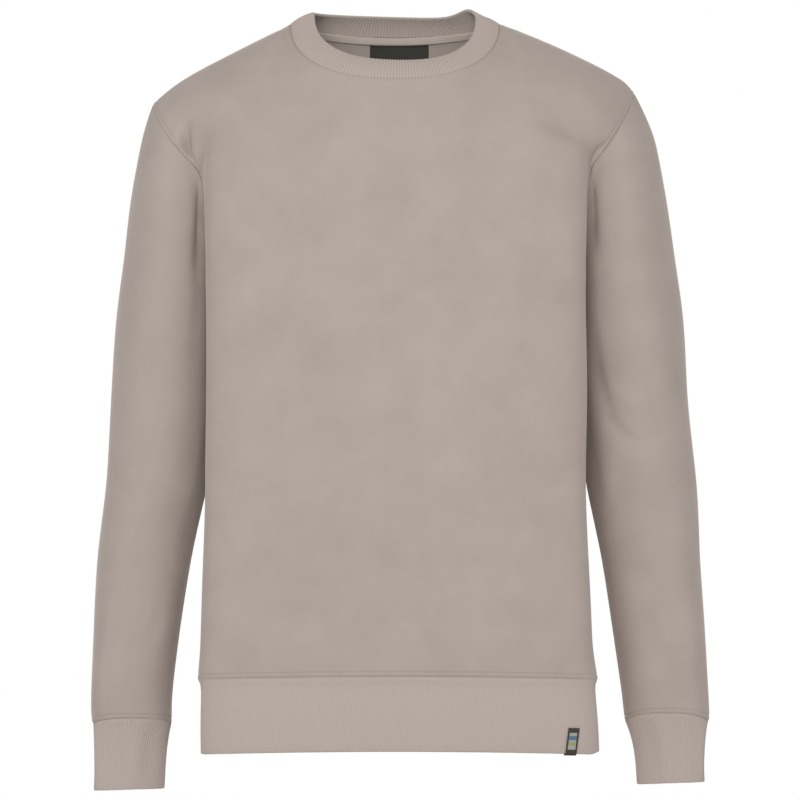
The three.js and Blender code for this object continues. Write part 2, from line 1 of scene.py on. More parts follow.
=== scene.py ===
"""A crewneck sweatshirt in plain taupe cotton fleece, filled out as it is worn, with no wearer.

Forms are worked out in millimetres and put into meshes in metres. +Z is up and the front faces -Y.
Left and right are as seen by someone who looks at the front. The origin is at the wearer's neck.
"""
import logging
import math
from dataclasses import dataclass
from enum import Enum
from typing import Any

import bpy
import numpy as np
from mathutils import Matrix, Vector


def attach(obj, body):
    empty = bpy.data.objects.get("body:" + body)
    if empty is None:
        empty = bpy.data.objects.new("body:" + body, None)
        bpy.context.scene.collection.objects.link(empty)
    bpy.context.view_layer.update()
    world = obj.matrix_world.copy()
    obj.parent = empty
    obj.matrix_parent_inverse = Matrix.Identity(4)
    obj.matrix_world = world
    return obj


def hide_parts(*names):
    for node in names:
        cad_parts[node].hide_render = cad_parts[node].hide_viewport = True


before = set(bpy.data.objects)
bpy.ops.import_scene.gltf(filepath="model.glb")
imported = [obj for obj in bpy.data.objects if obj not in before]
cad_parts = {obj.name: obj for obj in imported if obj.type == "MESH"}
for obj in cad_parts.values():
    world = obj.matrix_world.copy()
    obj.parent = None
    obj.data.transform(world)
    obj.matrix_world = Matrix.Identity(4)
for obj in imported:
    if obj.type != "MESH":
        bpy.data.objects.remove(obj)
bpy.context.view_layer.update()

Array = np.ndarray
LOG = logging.getLogger("sweatshirt")

MM = 0.001
CLOTH = 2.0  # brushed sweatshirt cloth of the body and sleeves
RIB_CLOTH = 2.8  # doubled rib of the collar, cuffs and hem
HEM_SEAM_Z = -630.0
HEM_BOTTOM_Z = -702.0
HEM_ARCH = 3.0  # the front of the hem rides up this much in the middle
UNDERARM_Z = -240.0
SLEEVE_LEVEL_Z = -320.0  # below this the rings of a sleeve lie level
NECK_X = -2.0  # the neck sits this far left of the body's middle
SHOULDER_Y = 2.0
BACK_FOLD_Y = 58.0
SHOULDER_SHARE = 4 / 11  # the part of a half panel's columns that ends on the shoulder seam
HEM_HEIGHT = HEM_SEAM_Z - HEM_BOTTOM_Z
TOPSTITCH = 4.3  # from a sewn edge to the row of stitches beside it
NECK_STITCH = 6.4  # the same below the collar
GARMENT = "root"  # the one body that every piece rides on


class Side(Enum):
    """A side of the garment, with the sign of its x."""

    LEFT = -1
    RIGHT = 1

    @property
    def word(self) -> str:
        """The side's name in lower case."""
        return self.name.lower()


class Face(Enum):
    """A face of the body, with the sign of its y."""

    FRONT = -1
    BACK = 1

    @property
    def word(self) -> str:
        """The face's name in lower case."""
        return self.name.lower()


class Held(Enum):
    """How a piece of cloth is held."""

    HUNG = "hung"
    STRETCHED = "stretched"


@dataclass(frozen=True)
class Table:
    """Named columns of given values, read smoothly between their rows.

    The first column is the key, in rising order. Between two rows a column follows the cubic that
    has the rows' values and, at each row, the slope between that row's two neighbours.
    """

    names: str
    rows: tuple[tuple[float, ...], ...]

    def at(self, column: str, place: Array | float) -> Array:
        """Reads one column.

        Args:
            column: The column's name.
            place: Where to read it along the key column.

        Returns:
            The values there, held at the ends of the table.
        """
        data = np.array(self.rows, float)
        key = data[:, 0]
        value = data[:, self.names.split().index(column)]
        last = len(key) - 1
        before = np.maximum(np.arange(last + 1) - 1, 0)
        after = np.minimum(np.arange(last + 1) + 1, last)
        slope = (value[after] - value[before]) / (key[after] - key[before])
        place = np.asarray(place, float)
        i = np.clip(np.searchsorted(key, place) - 1, 0, last - 1)
        step = key[i + 1] - key[i]
        f = np.clip((place - key[i]) / step, 0, 1)
        rise = value[i + 1] - value[i]
        bow = f * (1 - f) * ((slope[i] * step - rise) * (1 - f) + (rise - slope[i + 1] * step) * f)
        return value[i] + rise * f + bow


# Sections of the body by height: where the front turns back, the side seam, where the back turns forward,
# and the depths of the middles.
BODY = Table(
    "z left right foldY seam seamY backFold front back",
    (
        (-702, 188.0, 193.8, -61, 172, 6, 176, -110, 106),
        (-630, 190.5, 192.0, -66, 170, 7, 174, -115, 110),
        (-590, 189.3, 187.8, -68, 167, 8, 172, -118, 112),
        (-460, 185.4, 183.4, -70, 162, 10, 167, -119, 112),
        (-360, 183.2, 182.9, -71, 160, 12, 165, -119, 110),
        (-270, 183.8, 181.6, -72, 160, 12, 165, -119, 110),
        (-210, 185.6, 183.4, -71, 160, 12, 167, -117, 111),
        (-145, 190.0, 187.4, -68, 160, 12, 172, -111, 108),
        (-70, 190.0, 187.4, -62, 160, 12, 172, -102, 98),
    ),
)

# The armhole seam from the underarm (rise 0) to the shoulder tip (rise 1).
ARMHOLE = Table(
    "rise frontLeft frontRight frontY backLeft backRight backY",
    (
        (0.0, 160.5, 160.0, 12, 160.5, 160.0, 12),
        (0.11, 168.5, 167.5, -10, 165.0, 165.0, 42),
        (0.28, 178.5, 176.5, -30, 169.0, 168.5, 62),
        (0.46, 185.0, 183.0, -37, 176.0, 175.0, 72),
        (0.59, 189.5, 187.0, -38, 187.0, 185.0, 73),
        (0.72, 208.0, 203.5, -40, 205.0, 201.0, 66),
        (0.81, 220.5, 213.0, -35, 219.0, 212.0, 53),
        (0.91, 229.5, 222.5, -18, 229.0, 222.5, 30),
        (1.0, 233.5, 227.5, 2, 233.5, 227.5, 2),
    ),
)

# How far the front is tucked behind the fold in front of the armhole: 1 under the arm, 0 above the fold.
TUCK = Table(
    "z left right",
    ((-166, 1, 1), (-148, 1, 0.9), (-132, 0.8, 0.4), (-114, 0.35, 0), (-97, 0, 0)),
)

# The shoulder seam from the tip to the neck.
SHOULDER = {
    Side.LEFT: Table("f x z", ((0, 233.5, -79), (0.18, 208, -58), (0.6, 152, -28.5), (1, 102.5, -4.5))),
    Side.RIGHT: Table("f x z", ((0, 227.5, -69), (0.15, 214, -55), (0.55, 158, -27), (1, 98.5, -2.5))),
}

# Sections of the sleeves by height: the outer and inner edge from the front, and the middle and half depth.
SLEEVES = {
    Side.LEFT: Table(
        "z outer inner mid half",
        (
            (-673, 292.0, 217.0, 34, 37),
            (-651, 294.0, 216.5, 34, 41),
            (-593, 291.8, 209.5, 33, 45),
            (-516, 287.4, 197.0, 30, 50),
            (-478, 283.2, 189.2, 28, 53),
            (-440, 279.0, 181.0, 27, 56),
            (-363, 274.6, 173.0, 25, 60),
            (-286, 269.2, 168.5, 21, 65),
            (-228, 262.2, 165.5, 17, 69),
            (-171, 256.0, 166.0, 10, 68),
            (-113, 245.0, 170.0, 5, 60),
            (-95, 239.4, 175.0, 3, 52),
            (-79, 233.5, 180.0, 2, 45),
        ),
    ),
    Side.RIGHT: Table(
        "z outer inner mid half",
        (
            (-671, 299.0, 219.5, 34, 37),
            (-651, 299.6, 217.0, 34, 41),
            (-593, 296.4, 208.3, 33, 45),
            (-516, 290.8, 196.0, 30, 50),
            (-478, 289.6, 188.4, 28, 53),
            (-440, 287.6, 181.0, 27, 56),
            (-363, 279.4, 173.0, 25, 60),
            (-286, 274.6, 168.5, 21, 65),
            (-228, 267.0, 165.5, 17, 69),
            (-171, 259.2, 166.0, 10, 68),
            (-113, 247.8, 169.0, 5, 60),
            (-95, 240.6, 174.0, 3, 52),
            (-69, 227.5, 178.0, 2, 45),
        ),
    ),
}


def mix(a: Array | float, b: Array | float, f: Array | float) -> Array:
    """A value a share of the way between two.

    Args:
        a: The first.
        b: The second.
        f: The share.

    Returns:
        a + (b - a) f.
    """
    return a + (b - a) * f


def bell(distance: Array, width: float) -> Array:
    """The bell curve.

    Args:
        distance: How far from its middle.
        width: The distance at which it has fallen to 1 / e.

    Returns:
        exp(-(distance / width) squared).
    """
    return np.exp(-((distance / width) ** 2))


def along_axis(lines: Array) -> Array:
    """The distance covered along each line of points, from 0.

    Args:
        lines: Points as (lines, points, coordinates).

    Returns:
        Distances as (lines, points), the running sum of the steps between neighbours.
    """
    steps = np.linalg.norm(np.diff(lines, axis=1), axis=2)
    return np.concatenate([np.zeros((len(lines), 1)), np.cumsum(steps, axis=1)], axis=1)


def read_lines(known: Array, wanted: Array, values: Array) -> Array:
    """Reads values along many lines at once, straight between neighbours.

    Args:
        known: Rising places along each line, (lines, points).
        wanted: Places to read, (lines, places) or (places,).
        values: Values at the known places, (lines, points, kinds).

    Returns:
        The values as (lines, places, kinds). Each line is set far beyond the one before it on one
        long axis, so that a single reading serves them all.
    """
    far = 4 * (np.abs(known).max() + np.abs(wanted).max() + 1)
    base = np.arange(len(known))[:, None] * far
    places = (np.broadcast_to(wanted, (len(known), np.shape(wanted)[-1])) + base).ravel()
    axis = (known + base).ravel()
    flat = values.reshape(-1, values.shape[2])
    made = np.stack([np.interp(places, axis, flat[:, k]) for k in range(flat.shape[1])], axis=1)
    return made.reshape(len(known), -1, flat.shape[1])


def spread(lines: Array, shares: Array) -> Array:
    """Spreads lines of points again along their length.

    Args:
        lines: Points as (lines, points, coordinates).
        shares: Where to read each line, as shares of its length from 0 to 1.

    Returns:
        The points there.
    """
    along = along_axis(lines)
    return read_lines(along / along[:, -1:], shares, lines)


def soften(lines: Array, reach: float) -> Array:
    """Evenly spread lines blurred along their length, with their ends held.

    Each line goes on past its ends turned half round about them, and each point becomes the mean
    of its neighbours, weighted by a bell curve.

    Args:
        lines: Points as (lines, points, coordinates).
        reach: The bell curve's spread, in points.

    Returns:
        The softened lines.
    """
    wide = int(4 * reach)
    before = 2 * lines[:, :1] - lines[:, wide:0:-1]
    after = 2 * lines[:, -1:] - lines[:, -2 : -wide - 2 : -1]
    padded = np.concatenate([before, lines, after], axis=1)
    weights = bell(np.arange(-wide, wide + 1), reach * math.sqrt(2))
    weights /= weights.sum()
    return sum(w * padded[:, k : k + lines.shape[1]] for k, w in enumerate(weights))


def relax(grid: Array, rounds: int, closed: bool) -> Array:
    """A grid smoothed over its surface with its open edges held.

    Args:
        grid: The points.
        rounds: How often each inner point moves halfway to the mean of its four neighbours.
        closed: Whether the last column is followed by the first.

    Returns:
        The smoothed grid.
    """
    made = grid.copy()
    for _ in range(rounds):
        if closed:
            across = np.roll(made, 1, axis=1) + np.roll(made, -1, axis=1)
            mean = (across[1:-1] + made[:-2] + made[2:]) / 4
            made[1:-1] = (made[1:-1] + mean) / 2
        else:
            mean = (made[1:-1, :-2] + made[1:-1, 2:] + made[:-2, 1:-1] + made[2:, 1:-1]) / 4
            made[1:-1, 1:-1] = (made[1:-1, 1:-1] + mean) / 2
    return made


def cubic_rows(grid: Array, places: Array, closed: bool = False) -> Array:
    """Reads a grid between its rows along the cubic through the four nearest rows.

    Args:
        grid: Points or values, with the rows first.
        places: Row numbers to read, which need not be whole.
        closed: Whether the last row is followed by the first.

    Returns:
        The grid at those rows.
    """
    count = len(grid)
    low = np.floor(places).astype(int)
    if not closed:
        low = np.clip(low, 0, count - 2)
    f = (places - low).reshape((-1,) + (1,) * (grid.ndim - 1))

    def row(step: int) -> Array:
        """The rows that lie some steps from the lower ones."""
        i = low + step
        if closed:
            return grid[i % count]
        over = np.clip(i, 0, count - 1)
        beyond = (i - over).reshape(f.shape)
        inner = np.clip(over - np.sign(i - over), 0, count - 1)
        return grid[over] + beyond * np.sign(beyond) * (grid[over] - grid[inner])

    a, b, c, d = row(-1), row(0), row(1), row(2)
    return b + f / 2 * (c - a + f * (2 * a - 5 * b + 4 * c - d + f * (3 * (b - c) + d - a)))


def crowded(count: int, step: float, first: bool, last: bool) -> Array:
    """Row numbers that crowd towards the sewn edges of a grid.

    Args:
        count: The number of evenly spaced rows.
        step: The rows' spacing in millimetres.
        first: Whether to crowd at the first row.
        last: Whether to crowd at the last row.

    Returns:
        Row numbers: half a millimetre apart for 6.5 mm from the edge, then ever further apart.
    """
    near = np.concatenate([np.arange(0, 6.6, 0.5), [7.2, 8.2, 9.8, 12.0]]) / step
    start = near if first else np.array([0.0])
    end = count - 1 - (near if last else np.array([0.0]))[::-1]
    inner = np.arange(math.ceil(start[-1] + 0.6), math.floor(end[0] - 0.6) + 1)
    return np.concatenate([start, inner, end])


def normals_of(grid: Array, closed: bool) -> Array:
    """Unit normals of a grid.

    Args:
        grid: The points.
        closed: Whether the last column is followed by the first.

    Returns:
        The step along a row crossed with the step from row to row, at length 1.
    """
    if closed:
        along = np.roll(grid, -1, axis=1) - np.roll(grid, 1, axis=1)
    else:
        along = np.gradient(grid, axis=1)
    normal = np.cross(along, np.gradient(grid, axis=0))
    return normal / np.maximum(np.linalg.norm(normal, axis=2, keepdims=True), 1e-9)


@dataclass(frozen=True)
class Crease:
    """One fold: a trough along a line, with a low ridge on each side of it.

    start and end are places on the piece's own chart in millimetres. depth is negative for a ridge.
    """

    start: tuple[float, float]
    end: tuple[float, float]
    width: float
    depth: float

    def lift(self, a: Array, b: Array) -> Array:
        """How far the crease moves the cloth outwards.

        With q the distance from its line over its width, stretched a little on one side, the
        cross section is -depth (1 - 0.55 q q) exp(-q q). Along the line the depth rises as the
        square of a sine and falls the same way beyond a short run past each end.

        Args:
            a: Places across the chart.
            b: Places up the chart.

        Returns:
            The move along the normals, in millimetres.
        """
        start, end = np.array(self.start), np.array(self.end)
        length = float(np.linalg.norm(end - start))
        way = (end - start) / length
        along = (a - start[0]) * way[0] + (b - start[1]) * way[1]
        across = (a - start[0]) * -way[1] + (b - start[1]) * way[0]
        bent = across + 0.06 * length * np.sin(np.clip(along / length, 0, 1) * math.pi)
        q = bent / self.width * (1 + 0.25 * np.tanh(bent / self.width))
        share = np.clip((along / length + 0.2) / 1.4, 0, 1)
        fade = np.sin(share * math.pi) ** 2
        return -self.depth * (1 - 0.55 * q * q) * np.exp(-q * q) * fade


def seam_relief(distance: Array, stitched: Array | float, pad: float = 0.9, row: float = TOPSTITCH) -> Array:
    """How far cloth stands out beside a sewn edge.

    It rises from 0 at the seam to a soft pad, pad (1 - exp(-(d / 1.3) squared)), which dies away
    over 20 mm. Where it is topstitched, the row of stitches draws a groove 0.6 mm deep.

    Args:
        distance: The distance d from the edge.
        stitched: 1 where it is topstitched, 0 where it isn't.
        pad: The pad's height.
        row: The row's distance from the edge.

    Returns:
        The lift in millimetres.
    """
    rise = pad * (1 - bell(distance, 1.3)) * bell(distance, 20)
    groove = 0.6 * bell(distance - row, 0.85)
    return rise - groove * stitched


@dataclass
class Grid:
    """A sheet of cloth as a grid of points, rows upwards and columns anticlockwise seen from above."""

    points: Array
    closed: bool

    def edge_distances(self) -> tuple[Array, Array]:
        """Distances along the columns from the first row and from the last."""
        up = along_axis(self.points.transpose(1, 0, 2)).T
        return up, up[-1:] - up

    def side_distances(self) -> tuple[Array, Array]:
        """Distances along the rows from the first column and from the last."""
        over = along_axis(self.points)
        return over, over[:, -1:] - over

    def lifted(self, lift: Array) -> "Grid":
        """The grid moved along its normals."""
        return Grid(self.points + normals_of(self.points, self.closed) * lift[..., None], self.closed)

    def cut_map(self) -> Array:
        """The cloth's own map in metres: distance round it and distance up it, one column more if closed."""
        points = self.points
        if self.closed:
            points = np.concatenate([points, points[:, :1]], axis=1)
        over = along_axis(points)
        middle = over[:, over.shape[1] // 2][:, None]
        up = along_axis(points.transpose(1, 0, 2)).T
        return np.stack([over - middle, up], axis=2) * MM


class Maker:
    """Puts grids into meshes and hangs the finished pieces on the garment's body."""

    @staticmethod
    def mesh(
        name: str, points: Array, quads: Array, corners: Array | None, finish: "Finish"
    ) -> bpy.types.Object:
        """Makes one object from points and quads.

        Args:
            name: The object's name.
            points: Points in millimetres, (points, 3).
            quads: Point numbers, (faces, 4).
            corners: The map's coordinates at each face corner, (faces, 4, 2), or None.
            finish: The material.

        Returns:
            The object, linked into the scene at the origin.
        """
        mesh = bpy.data.meshes.new(name)
        mesh.vertices.add(len(points))
        mesh.vertices.foreach_set("co", (points * MM).astype(np.float32).ravel())
        mesh.loops.add(quads.size)
        mesh.loops.foreach_set("vertex_index", quads.astype(np.int32).ravel())
        mesh.polygons.add(len(quads))
        mesh.polygons.foreach_set("loop_start", np.arange(0, quads.size, 4, dtype=np.int32))
        mesh.polygons.foreach_set("use_smooth", np.ones(len(quads), bool))
        if corners is not None:
            layer = mesh.uv_layers.new(name="cut")
            layer.uv.foreach_set("vector", corners.astype(np.float32).ravel())
        mesh.update(calc_edges=True)
        mesh.validate()
        mesh.materials.append(finish.material())
        piece = bpy.data.objects.new(name, mesh)
        bpy.context.scene.collection.objects.link(piece)
        LOG.info("%s: %d points, %d quads", name, len(points), len(quads))
        return piece

    @staticmethod
    def put(
        name: str, points: Array, quads: Array, corners: Array | None, finish: "Finish"
    ) -> bpy.types.Object:
        """Makes one piece of the garment, which rides on its body and takes its finish.

        Args:
            name: The piece's name.
            points: Points in millimetres, (points, 3).
            quads: Point numbers, (faces, 4).
            corners: The map's coordinates at each face corner, (faces, 4, 2), or None.
            finish: The material.

        Returns:
            The piece.
        """
        piece = Maker.mesh(name, points, quads, corners, finish)
        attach(piece, GARMENT)
        return piece

    @staticmethod
    def wrapped(rows: int, columns: int, round_rows: bool, round_columns: bool) -> tuple[Array, Array]:
        """The quads of a grid, and the map corners that they use.

        Args:
            rows: Rows of points.
            columns: Columns of points.
            round_rows: Whether the last row joins the first.
            round_columns: Whether the last column joins the first.

        Returns:
            Point numbers (faces, 4), and numbers into a map with one row and column more where it closes.
        """
        r, c = np.meshgrid(
            np.arange(rows if round_rows else rows - 1),
            np.arange(columns if round_columns else columns - 1),
            indexing="ij",
        )
        r, c = r.ravel(), c.ravel()
        steps = ((0, 0), (0, 1), (1, 1), (1, 0))
        quads = np.stack([(r + i) % rows * columns + (c + j) % columns for i, j in steps], axis=1)
        wide = columns + int(round_columns)
        uses = np.stack([(r + i) * wide + (c + j) for i, j in steps], axis=1)
        return quads, uses

    @staticmethod
    def shell(name: str, grid: Grid, thick: float, finish: "Finish") -> bpy.types.Object:
        """A sheet with its thickness: the grid, the same grid moved inwards, and walls round its edges.

        The inner rows follow the outer ones in reverse, so that the last row joins the first.

        Args:
            name: The piece's name.
            grid: Its outer face.
            thick: How far inwards the other face lies, or outwards if negative.
            finish: The material.

        Returns:
            The piece.
        """
        normals = normals_of(grid.points, grid.closed)
        inner = grid.points - normals * thick
        points = np.concatenate([grid.points, inner[::-1]])
        rows, columns = points.shape[:2]
        cut = grid.cut_map()
        cut = np.concatenate([cut, cut[::-1], cut[:1]])
        quads, uses = Maker.wrapped(rows, columns, True, grid.closed)
        corners = cut.reshape(-1, 2)[uses]
        if not grid.closed:
            r = np.arange(len(grid.points) - 1)
            low, high = r * columns, (r + 1) * columns
            low_in, high_in = (rows - 1 - r) * columns, (rows - 2 - r) * columns
            last = columns - 1
            left = np.stack([low_in, low, high, high_in], axis=1)
            right = np.stack([low + last, low_in + last, high_in + last, high + last], axis=1)
            flat = cut[:rows].reshape(-1, 2)
            corners = np.concatenate([corners, flat[left], flat[right]])
            quads = np.concatenate([quads, left, right])
        return Maker.put(name, points.reshape(-1, 3), quads, corners, finish)

    @staticmethod
    def measured(piece: bpy.types.Object, layers: float) -> float:
        """A piece's area.

        Args:
            piece: The piece.
            layers: How many faces of the cloth its mesh has.

        Returns:
            The sum of its faces in square metres, over its layers.
        """
        areas = np.zeros(len(piece.data.polygons), np.float32)
        piece.data.polygons.foreach_get("area", areas)
        return float(areas.sum()) / layers


def linear(colour: str) -> tuple[float, float, float, float]:
    """An sRGB hex colour as linear red, green, blue and alpha."""
    parts = [int(colour[i : i + 2], 16) / 255 for i in (1, 3, 5)]
    red, green, blue = [v / 12.92 if v <= 0.04045 else ((v + 0.055) / 1.055) ** 2.4 for v in parts]
    return red, green, blue, 1.0


def bands(period: float) -> float:
    """The scale that gives a Wave Texture's bands a period in millimetres on a map in metres."""
    return math.pi / 10 / (period * MM)


def grains(size: float) -> float:
    """The scale that gives a Noise Texture grains of a size in millimetres on coordinates in metres."""
    return 1 / (size * MM)


def node(
    tree: bpy.types.NodeTree, kind: str, inputs: dict[str | int, Any], **settings: Any
) -> bpy.types.Node:
    """Adds one node with its settings and links.

    Args:
        tree: The material's node tree.
        kind: The node's type name without "ShaderNode".
        inputs: Values for its inputs, or output sockets that are linked to them.
        settings: Its other properties.

    Returns:
        The node.
    """
    made = tree.nodes.new("ShaderNode" + kind)
    for name, value in settings.items():
        setattr(made, name, value)
    for key, value in inputs.items():
        if isinstance(value, bpy.types.NodeSocket):
            tree.links.new(value, made.inputs[key])
        else:
            made.inputs[key].default_value = value
    return made


def blend(tree: bpy.types.NodeTree, share: Any, first: Any, second: Any) -> bpy.types.NodeSocket:
    """Mixes two colours.

    Args:
        tree: The material's node tree.
        share: How much of the second, as a socket.
        first: A colour or a socket.
        second: A colour or a socket.

    Returns:
        The mixed colour's socket. A Mix node has a pair of inputs for each kind of value, and
        the colours are its seventh and eighth.
    """
    return node(tree, "Mix", {"Factor": share, 6: first, 7: second}, data_type="RGBA").outputs[2]


def scaled(colour: tuple[float, ...], factor: float) -> tuple[float, ...]:
    """A linear colour times a factor, no channel above 1, with its alpha at 1."""
    return tuple(min(1.0, channel * factor) for channel in colour[:3]) + (1.0,)


def napped_cloth(
    tree: bpy.types.NodeTree, colour: Any, rough: float, height: Any, bump: float
) -> bpy.types.Node:
    """A matt shader with a soft nap, for knitted cotton.

    Args:
        tree: The material's node tree.
        colour: The colour's socket.
        rough: The roughness.
        height: The socket that gives the knit's height.
        bump: How strongly the height shows.

    Returns:
        The shader node.
    """
    knit = node(tree, "Bump", {"Height": height, "Strength": bump, "Distance": 0.3 * MM})
    return node(
        tree, "BsdfPrincipled",
        {
            "Base Color": colour,
            "Roughness": rough,
            "IOR": 1.45,
            "Specular IOR Level": 0.25,
            "Sheen Weight": 0.4,
            "Sheen Roughness": 0.45,
            "Sheen Tint": linear("#e9dfd6"),
            "Normal": knit.outputs["Normal"],
        },
    )


@dataclass(frozen=True)
class Finish:
    """What every finish has: a name, the record's slot and a base colour."""

    name: str
    slot: str
    colour: str

    def material(self) -> bpy.types.Material:
        """The finish's material, made the first time it is asked for."""
        found = bpy.data.materials.get(self.name)
        if found:
            return found
        made = bpy.data.materials.new(self.name)
        made.use_nodes = True
        made.node_tree.nodes.clear()
        shader = self.shade(made.node_tree)
        node(made.node_tree, "OutputMaterial", {"Surface": shader.outputs["BSDF"]})
        made.diffuse_color = linear(self.colour)
        return made

    def shade(self, tree: bpy.types.NodeTree) -> bpy.types.Node:
        """The finish's shader node."""
        return node(tree, "BsdfPrincipled", {"Base Color": linear(self.colour), "Roughness": 0.9})


@dataclass(frozen=True)
class FleeceJersey(Finish):
    """Cotton and polyester sweatshirt cloth, jersey outside and brushed inside, dyed in the piece.

    It gives the eye a matt, very even taupe with a faint nap, and close up the upright wales and
    level courses of fine jersey. Real wales are about 0.9 mm apart, under a pixel in the render,
    so they are drawn 1.7 mm apart.
    """

    dark: str = "#9b8f87"
    wale: float = 1.7
    course: float = 1.3
    bump: float = 0.16

    def shade(self, tree: bpy.types.NodeTree) -> bpy.types.Node:
        """Nearly one colour, with cloudy dye, fine fibre specks, and wales and courses as bumps."""
        cut = node(tree, "UVMap", {}, uv_map="cut").outputs["UV"]
        place = node(tree, "TexCoord", {}).outputs["Object"]
        wales = node(
            tree, "TexWave", {"Vector": cut, "Scale": bands(self.wale), "Distortion": 1.2, "Detail": 1.0},
            bands_direction="X",
        )
        courses = node(
            tree, "TexWave", {"Vector": cut, "Scale": bands(self.course), "Distortion": 1.6, "Detail": 1.0},
            bands_direction="Y",
        )
        fibre = node(tree, "TexNoise", {"Vector": place, "Scale": grains(1.4), "Detail": 3.0})
        cloud = node(
            tree, "TexNoise", {"Vector": place, "Scale": grains(46), "Detail": 2.0, "Roughness": 0.6}
        )
        knit = node(
            tree, "Math", {0: wales.outputs["Fac"], 1: courses.outputs["Fac"]}, operation="MULTIPLY"
        )
        height = node(
            tree, "Math", {0: knit.outputs[0], 1: fibre.outputs["Fac"]}, operation="ADD"
        )
        speck = node(
            tree, "Math", {0: fibre.outputs["Fac"], 1: 0.35, 2: cloud.outputs["Fac"]},
            operation="MULTIPLY_ADD",
        )
        shade = node(
            tree, "MapRange",
            {"Value": speck.outputs[0], "From Min": 0.42, "From Max": 0.98, "To Min": 0.0, "To Max": 0.6},
        )
        colour = blend(tree, shade.outputs["Result"], linear(self.colour), linear(self.dark))
        return napped_cloth(tree, colour, 0.94, height.outputs[0], self.bump)


@dataclass(frozen=True)
class RibKnit(Finish):
    """Cotton rib with elastane, knitted in the body's colour.

    It gives the eye close upright cords with soft shade between them. The cords are in the mesh, and the
    grooves are painted a little darker, a painted shade, by the mesh's own attribute.
    """

    # the colour of the painted shade in the grooves
    groove: str = "#887b72"
    course: float = 1.3
    bump: float = 0.12

    def shade(self, tree: bpy.types.NodeTree) -> bpy.types.Node:
        """Cords in the body's colour with painted shade in the grooves, broken by fibre specks, and fine
        level courses as bumps.
        """
        cut = node(tree, "UVMap", {}, uv_map="cut").outputs["UV"]
        place = node(tree, "TexCoord", {}).outputs["Object"]
        crest = node(tree, "Attribute", {}, attribute_name="crest")
        courses = node(
            tree, "TexWave", {"Vector": cut, "Scale": bands(self.course), "Distortion": 1.5, "Detail": 1.0},
            bands_direction="Y",
        )
        fibre = node(tree, "TexNoise", {"Vector": place, "Scale": grains(2.2), "Detail": 3.0})
        height = node(tree, "Math", {0: courses.outputs["Fac"], 1: fibre.outputs["Fac"]}, operation="ADD")
        # Painted shade: where the crest attribute is low, in the grooves, the groove colour is mixed in,
        # broken up by fibre specks.
        fibre_and_groove_shade = node(
            tree, "Math", {0: fibre.outputs["Fac"], 1: 0.5, 2: crest.outputs["Fac"]}, operation="MULTIPLY_ADD"
        )
        shade = node(
            tree, "MapRange",
            {"Value": fibre_and_groove_shade.outputs[0], "From Min": 0.15, "From Max": 0.95, "To Min": 0.4, "To Max": 0.0},
        )
        colour = blend(tree, shade.outputs["Result"], linear(self.colour), linear(self.groove))
        return napped_cloth(tree, colour, 0.93, height.outputs[0], self.bump)


@dataclass(frozen=True)
class WovenRibbon(Finish):
    """Polyester satin ribbon woven for labels.

    It gives the eye a near-black brown with a tight sheen and fine level picks.
    """

    pick: float = 0.8
    gloss: float = 0.62

    def dye(self, tree: bpy.types.NodeTree, cut: bpy.types.NodeSocket, weave: bpy.types.NodeSocket) -> Any:
        """The ribbon's colour socket: the dye, a shade lighter on each woven pick."""
        base = linear(self.colour)
        return blend(tree, weave, base, scaled(base, 1.25))

    def shade(self, tree: bpy.types.NodeTree) -> bpy.types.Node:
        """The dye, with the picks as bumps."""
        cut = node(tree, "UVMap", {}, uv_map="cut").outputs["UV"]
        picks = node(tree, "TexWave", {"Vector": cut, "Scale": bands(self.pick)}, bands_direction="Y")
        ends = node(tree, "TexWave", {"Vector": cut, "Scale": bands(self.pick * 1.3)}, bands_direction="X")
        weave = node(tree, "Math", {0: picks.outputs["Fac"], 1: ends.outputs["Fac"]}, operation="MULTIPLY")
        bump = node(tree, "Bump", {"Height": weave.outputs[0], "Strength": 0.25, "Distance": 0.2 * MM})
        return node(
            tree, "BsdfPrincipled",
            {
                "Base Color": self.dye(tree, cut, weave.outputs[0]),
                "Roughness": self.gloss,
                "IOR": 1.5,
                "Specular IOR Level": 0.4,
                "Normal": bump.outputs["Normal"],
            },
        )


@dataclass(frozen=True)
class StripedRibbon(WovenRibbon):
    """The same ribbon with a pale ground between dark edges, and two plain stripes across it.

    It gives the eye a dark hem and head, a pale field, and one slate and one olive stripe. Each
    stripe is a colour with its lower and upper edge in millimetres along the ribbon's own map.
    """

    ground: str = "#97978f"
    half: float = 3.9
    foot: float = 30.5
    head: float = 46.6
    stripes: tuple[tuple[str, float, float], ...] = (("#4d6b84", 39.6, 43.6), ("#8f9160", 34.4, 37.4))

    def inside(self, tree: bpy.types.NodeTree, value: bpy.types.NodeSocket, low: float, high: float) -> Any:
        """A socket that is 1 where a map coordinate lies between two places in millimetres, else 0."""
        above = node(tree, "Math", {0: value, 1: low * MM}, operation="GREATER_THAN")
        below = node(tree, "Math", {0: value, 1: high * MM}, operation="LESS_THAN")
        return node(tree, "Math", {0: above.outputs[0], 1: below.outputs[0]}, operation="MULTIPLY").outputs[0]

    def dye(self, tree: bpy.types.NodeTree, cut: bpy.types.NodeSocket, weave: bpy.types.NodeSocket) -> Any:
        """The ground over the dark ribbon, then each stripe over the ground."""
        under = super().dye(tree, cut, weave)
        split = node(tree, "SeparateXYZ", {"Vector": cut})
        across = self.inside(tree, split.outputs["X"], -self.half, self.half)
        for colour, low, high in ((self.ground, self.foot, self.head), *self.stripes):
            along = self.inside(tree, split.outputs["Y"], low, high)
            both = node(tree, "Math", {0: across, 1: along}, operation="MULTIPLY")
            under = blend(tree, both.outputs[0], under, linear(colour))
        return under


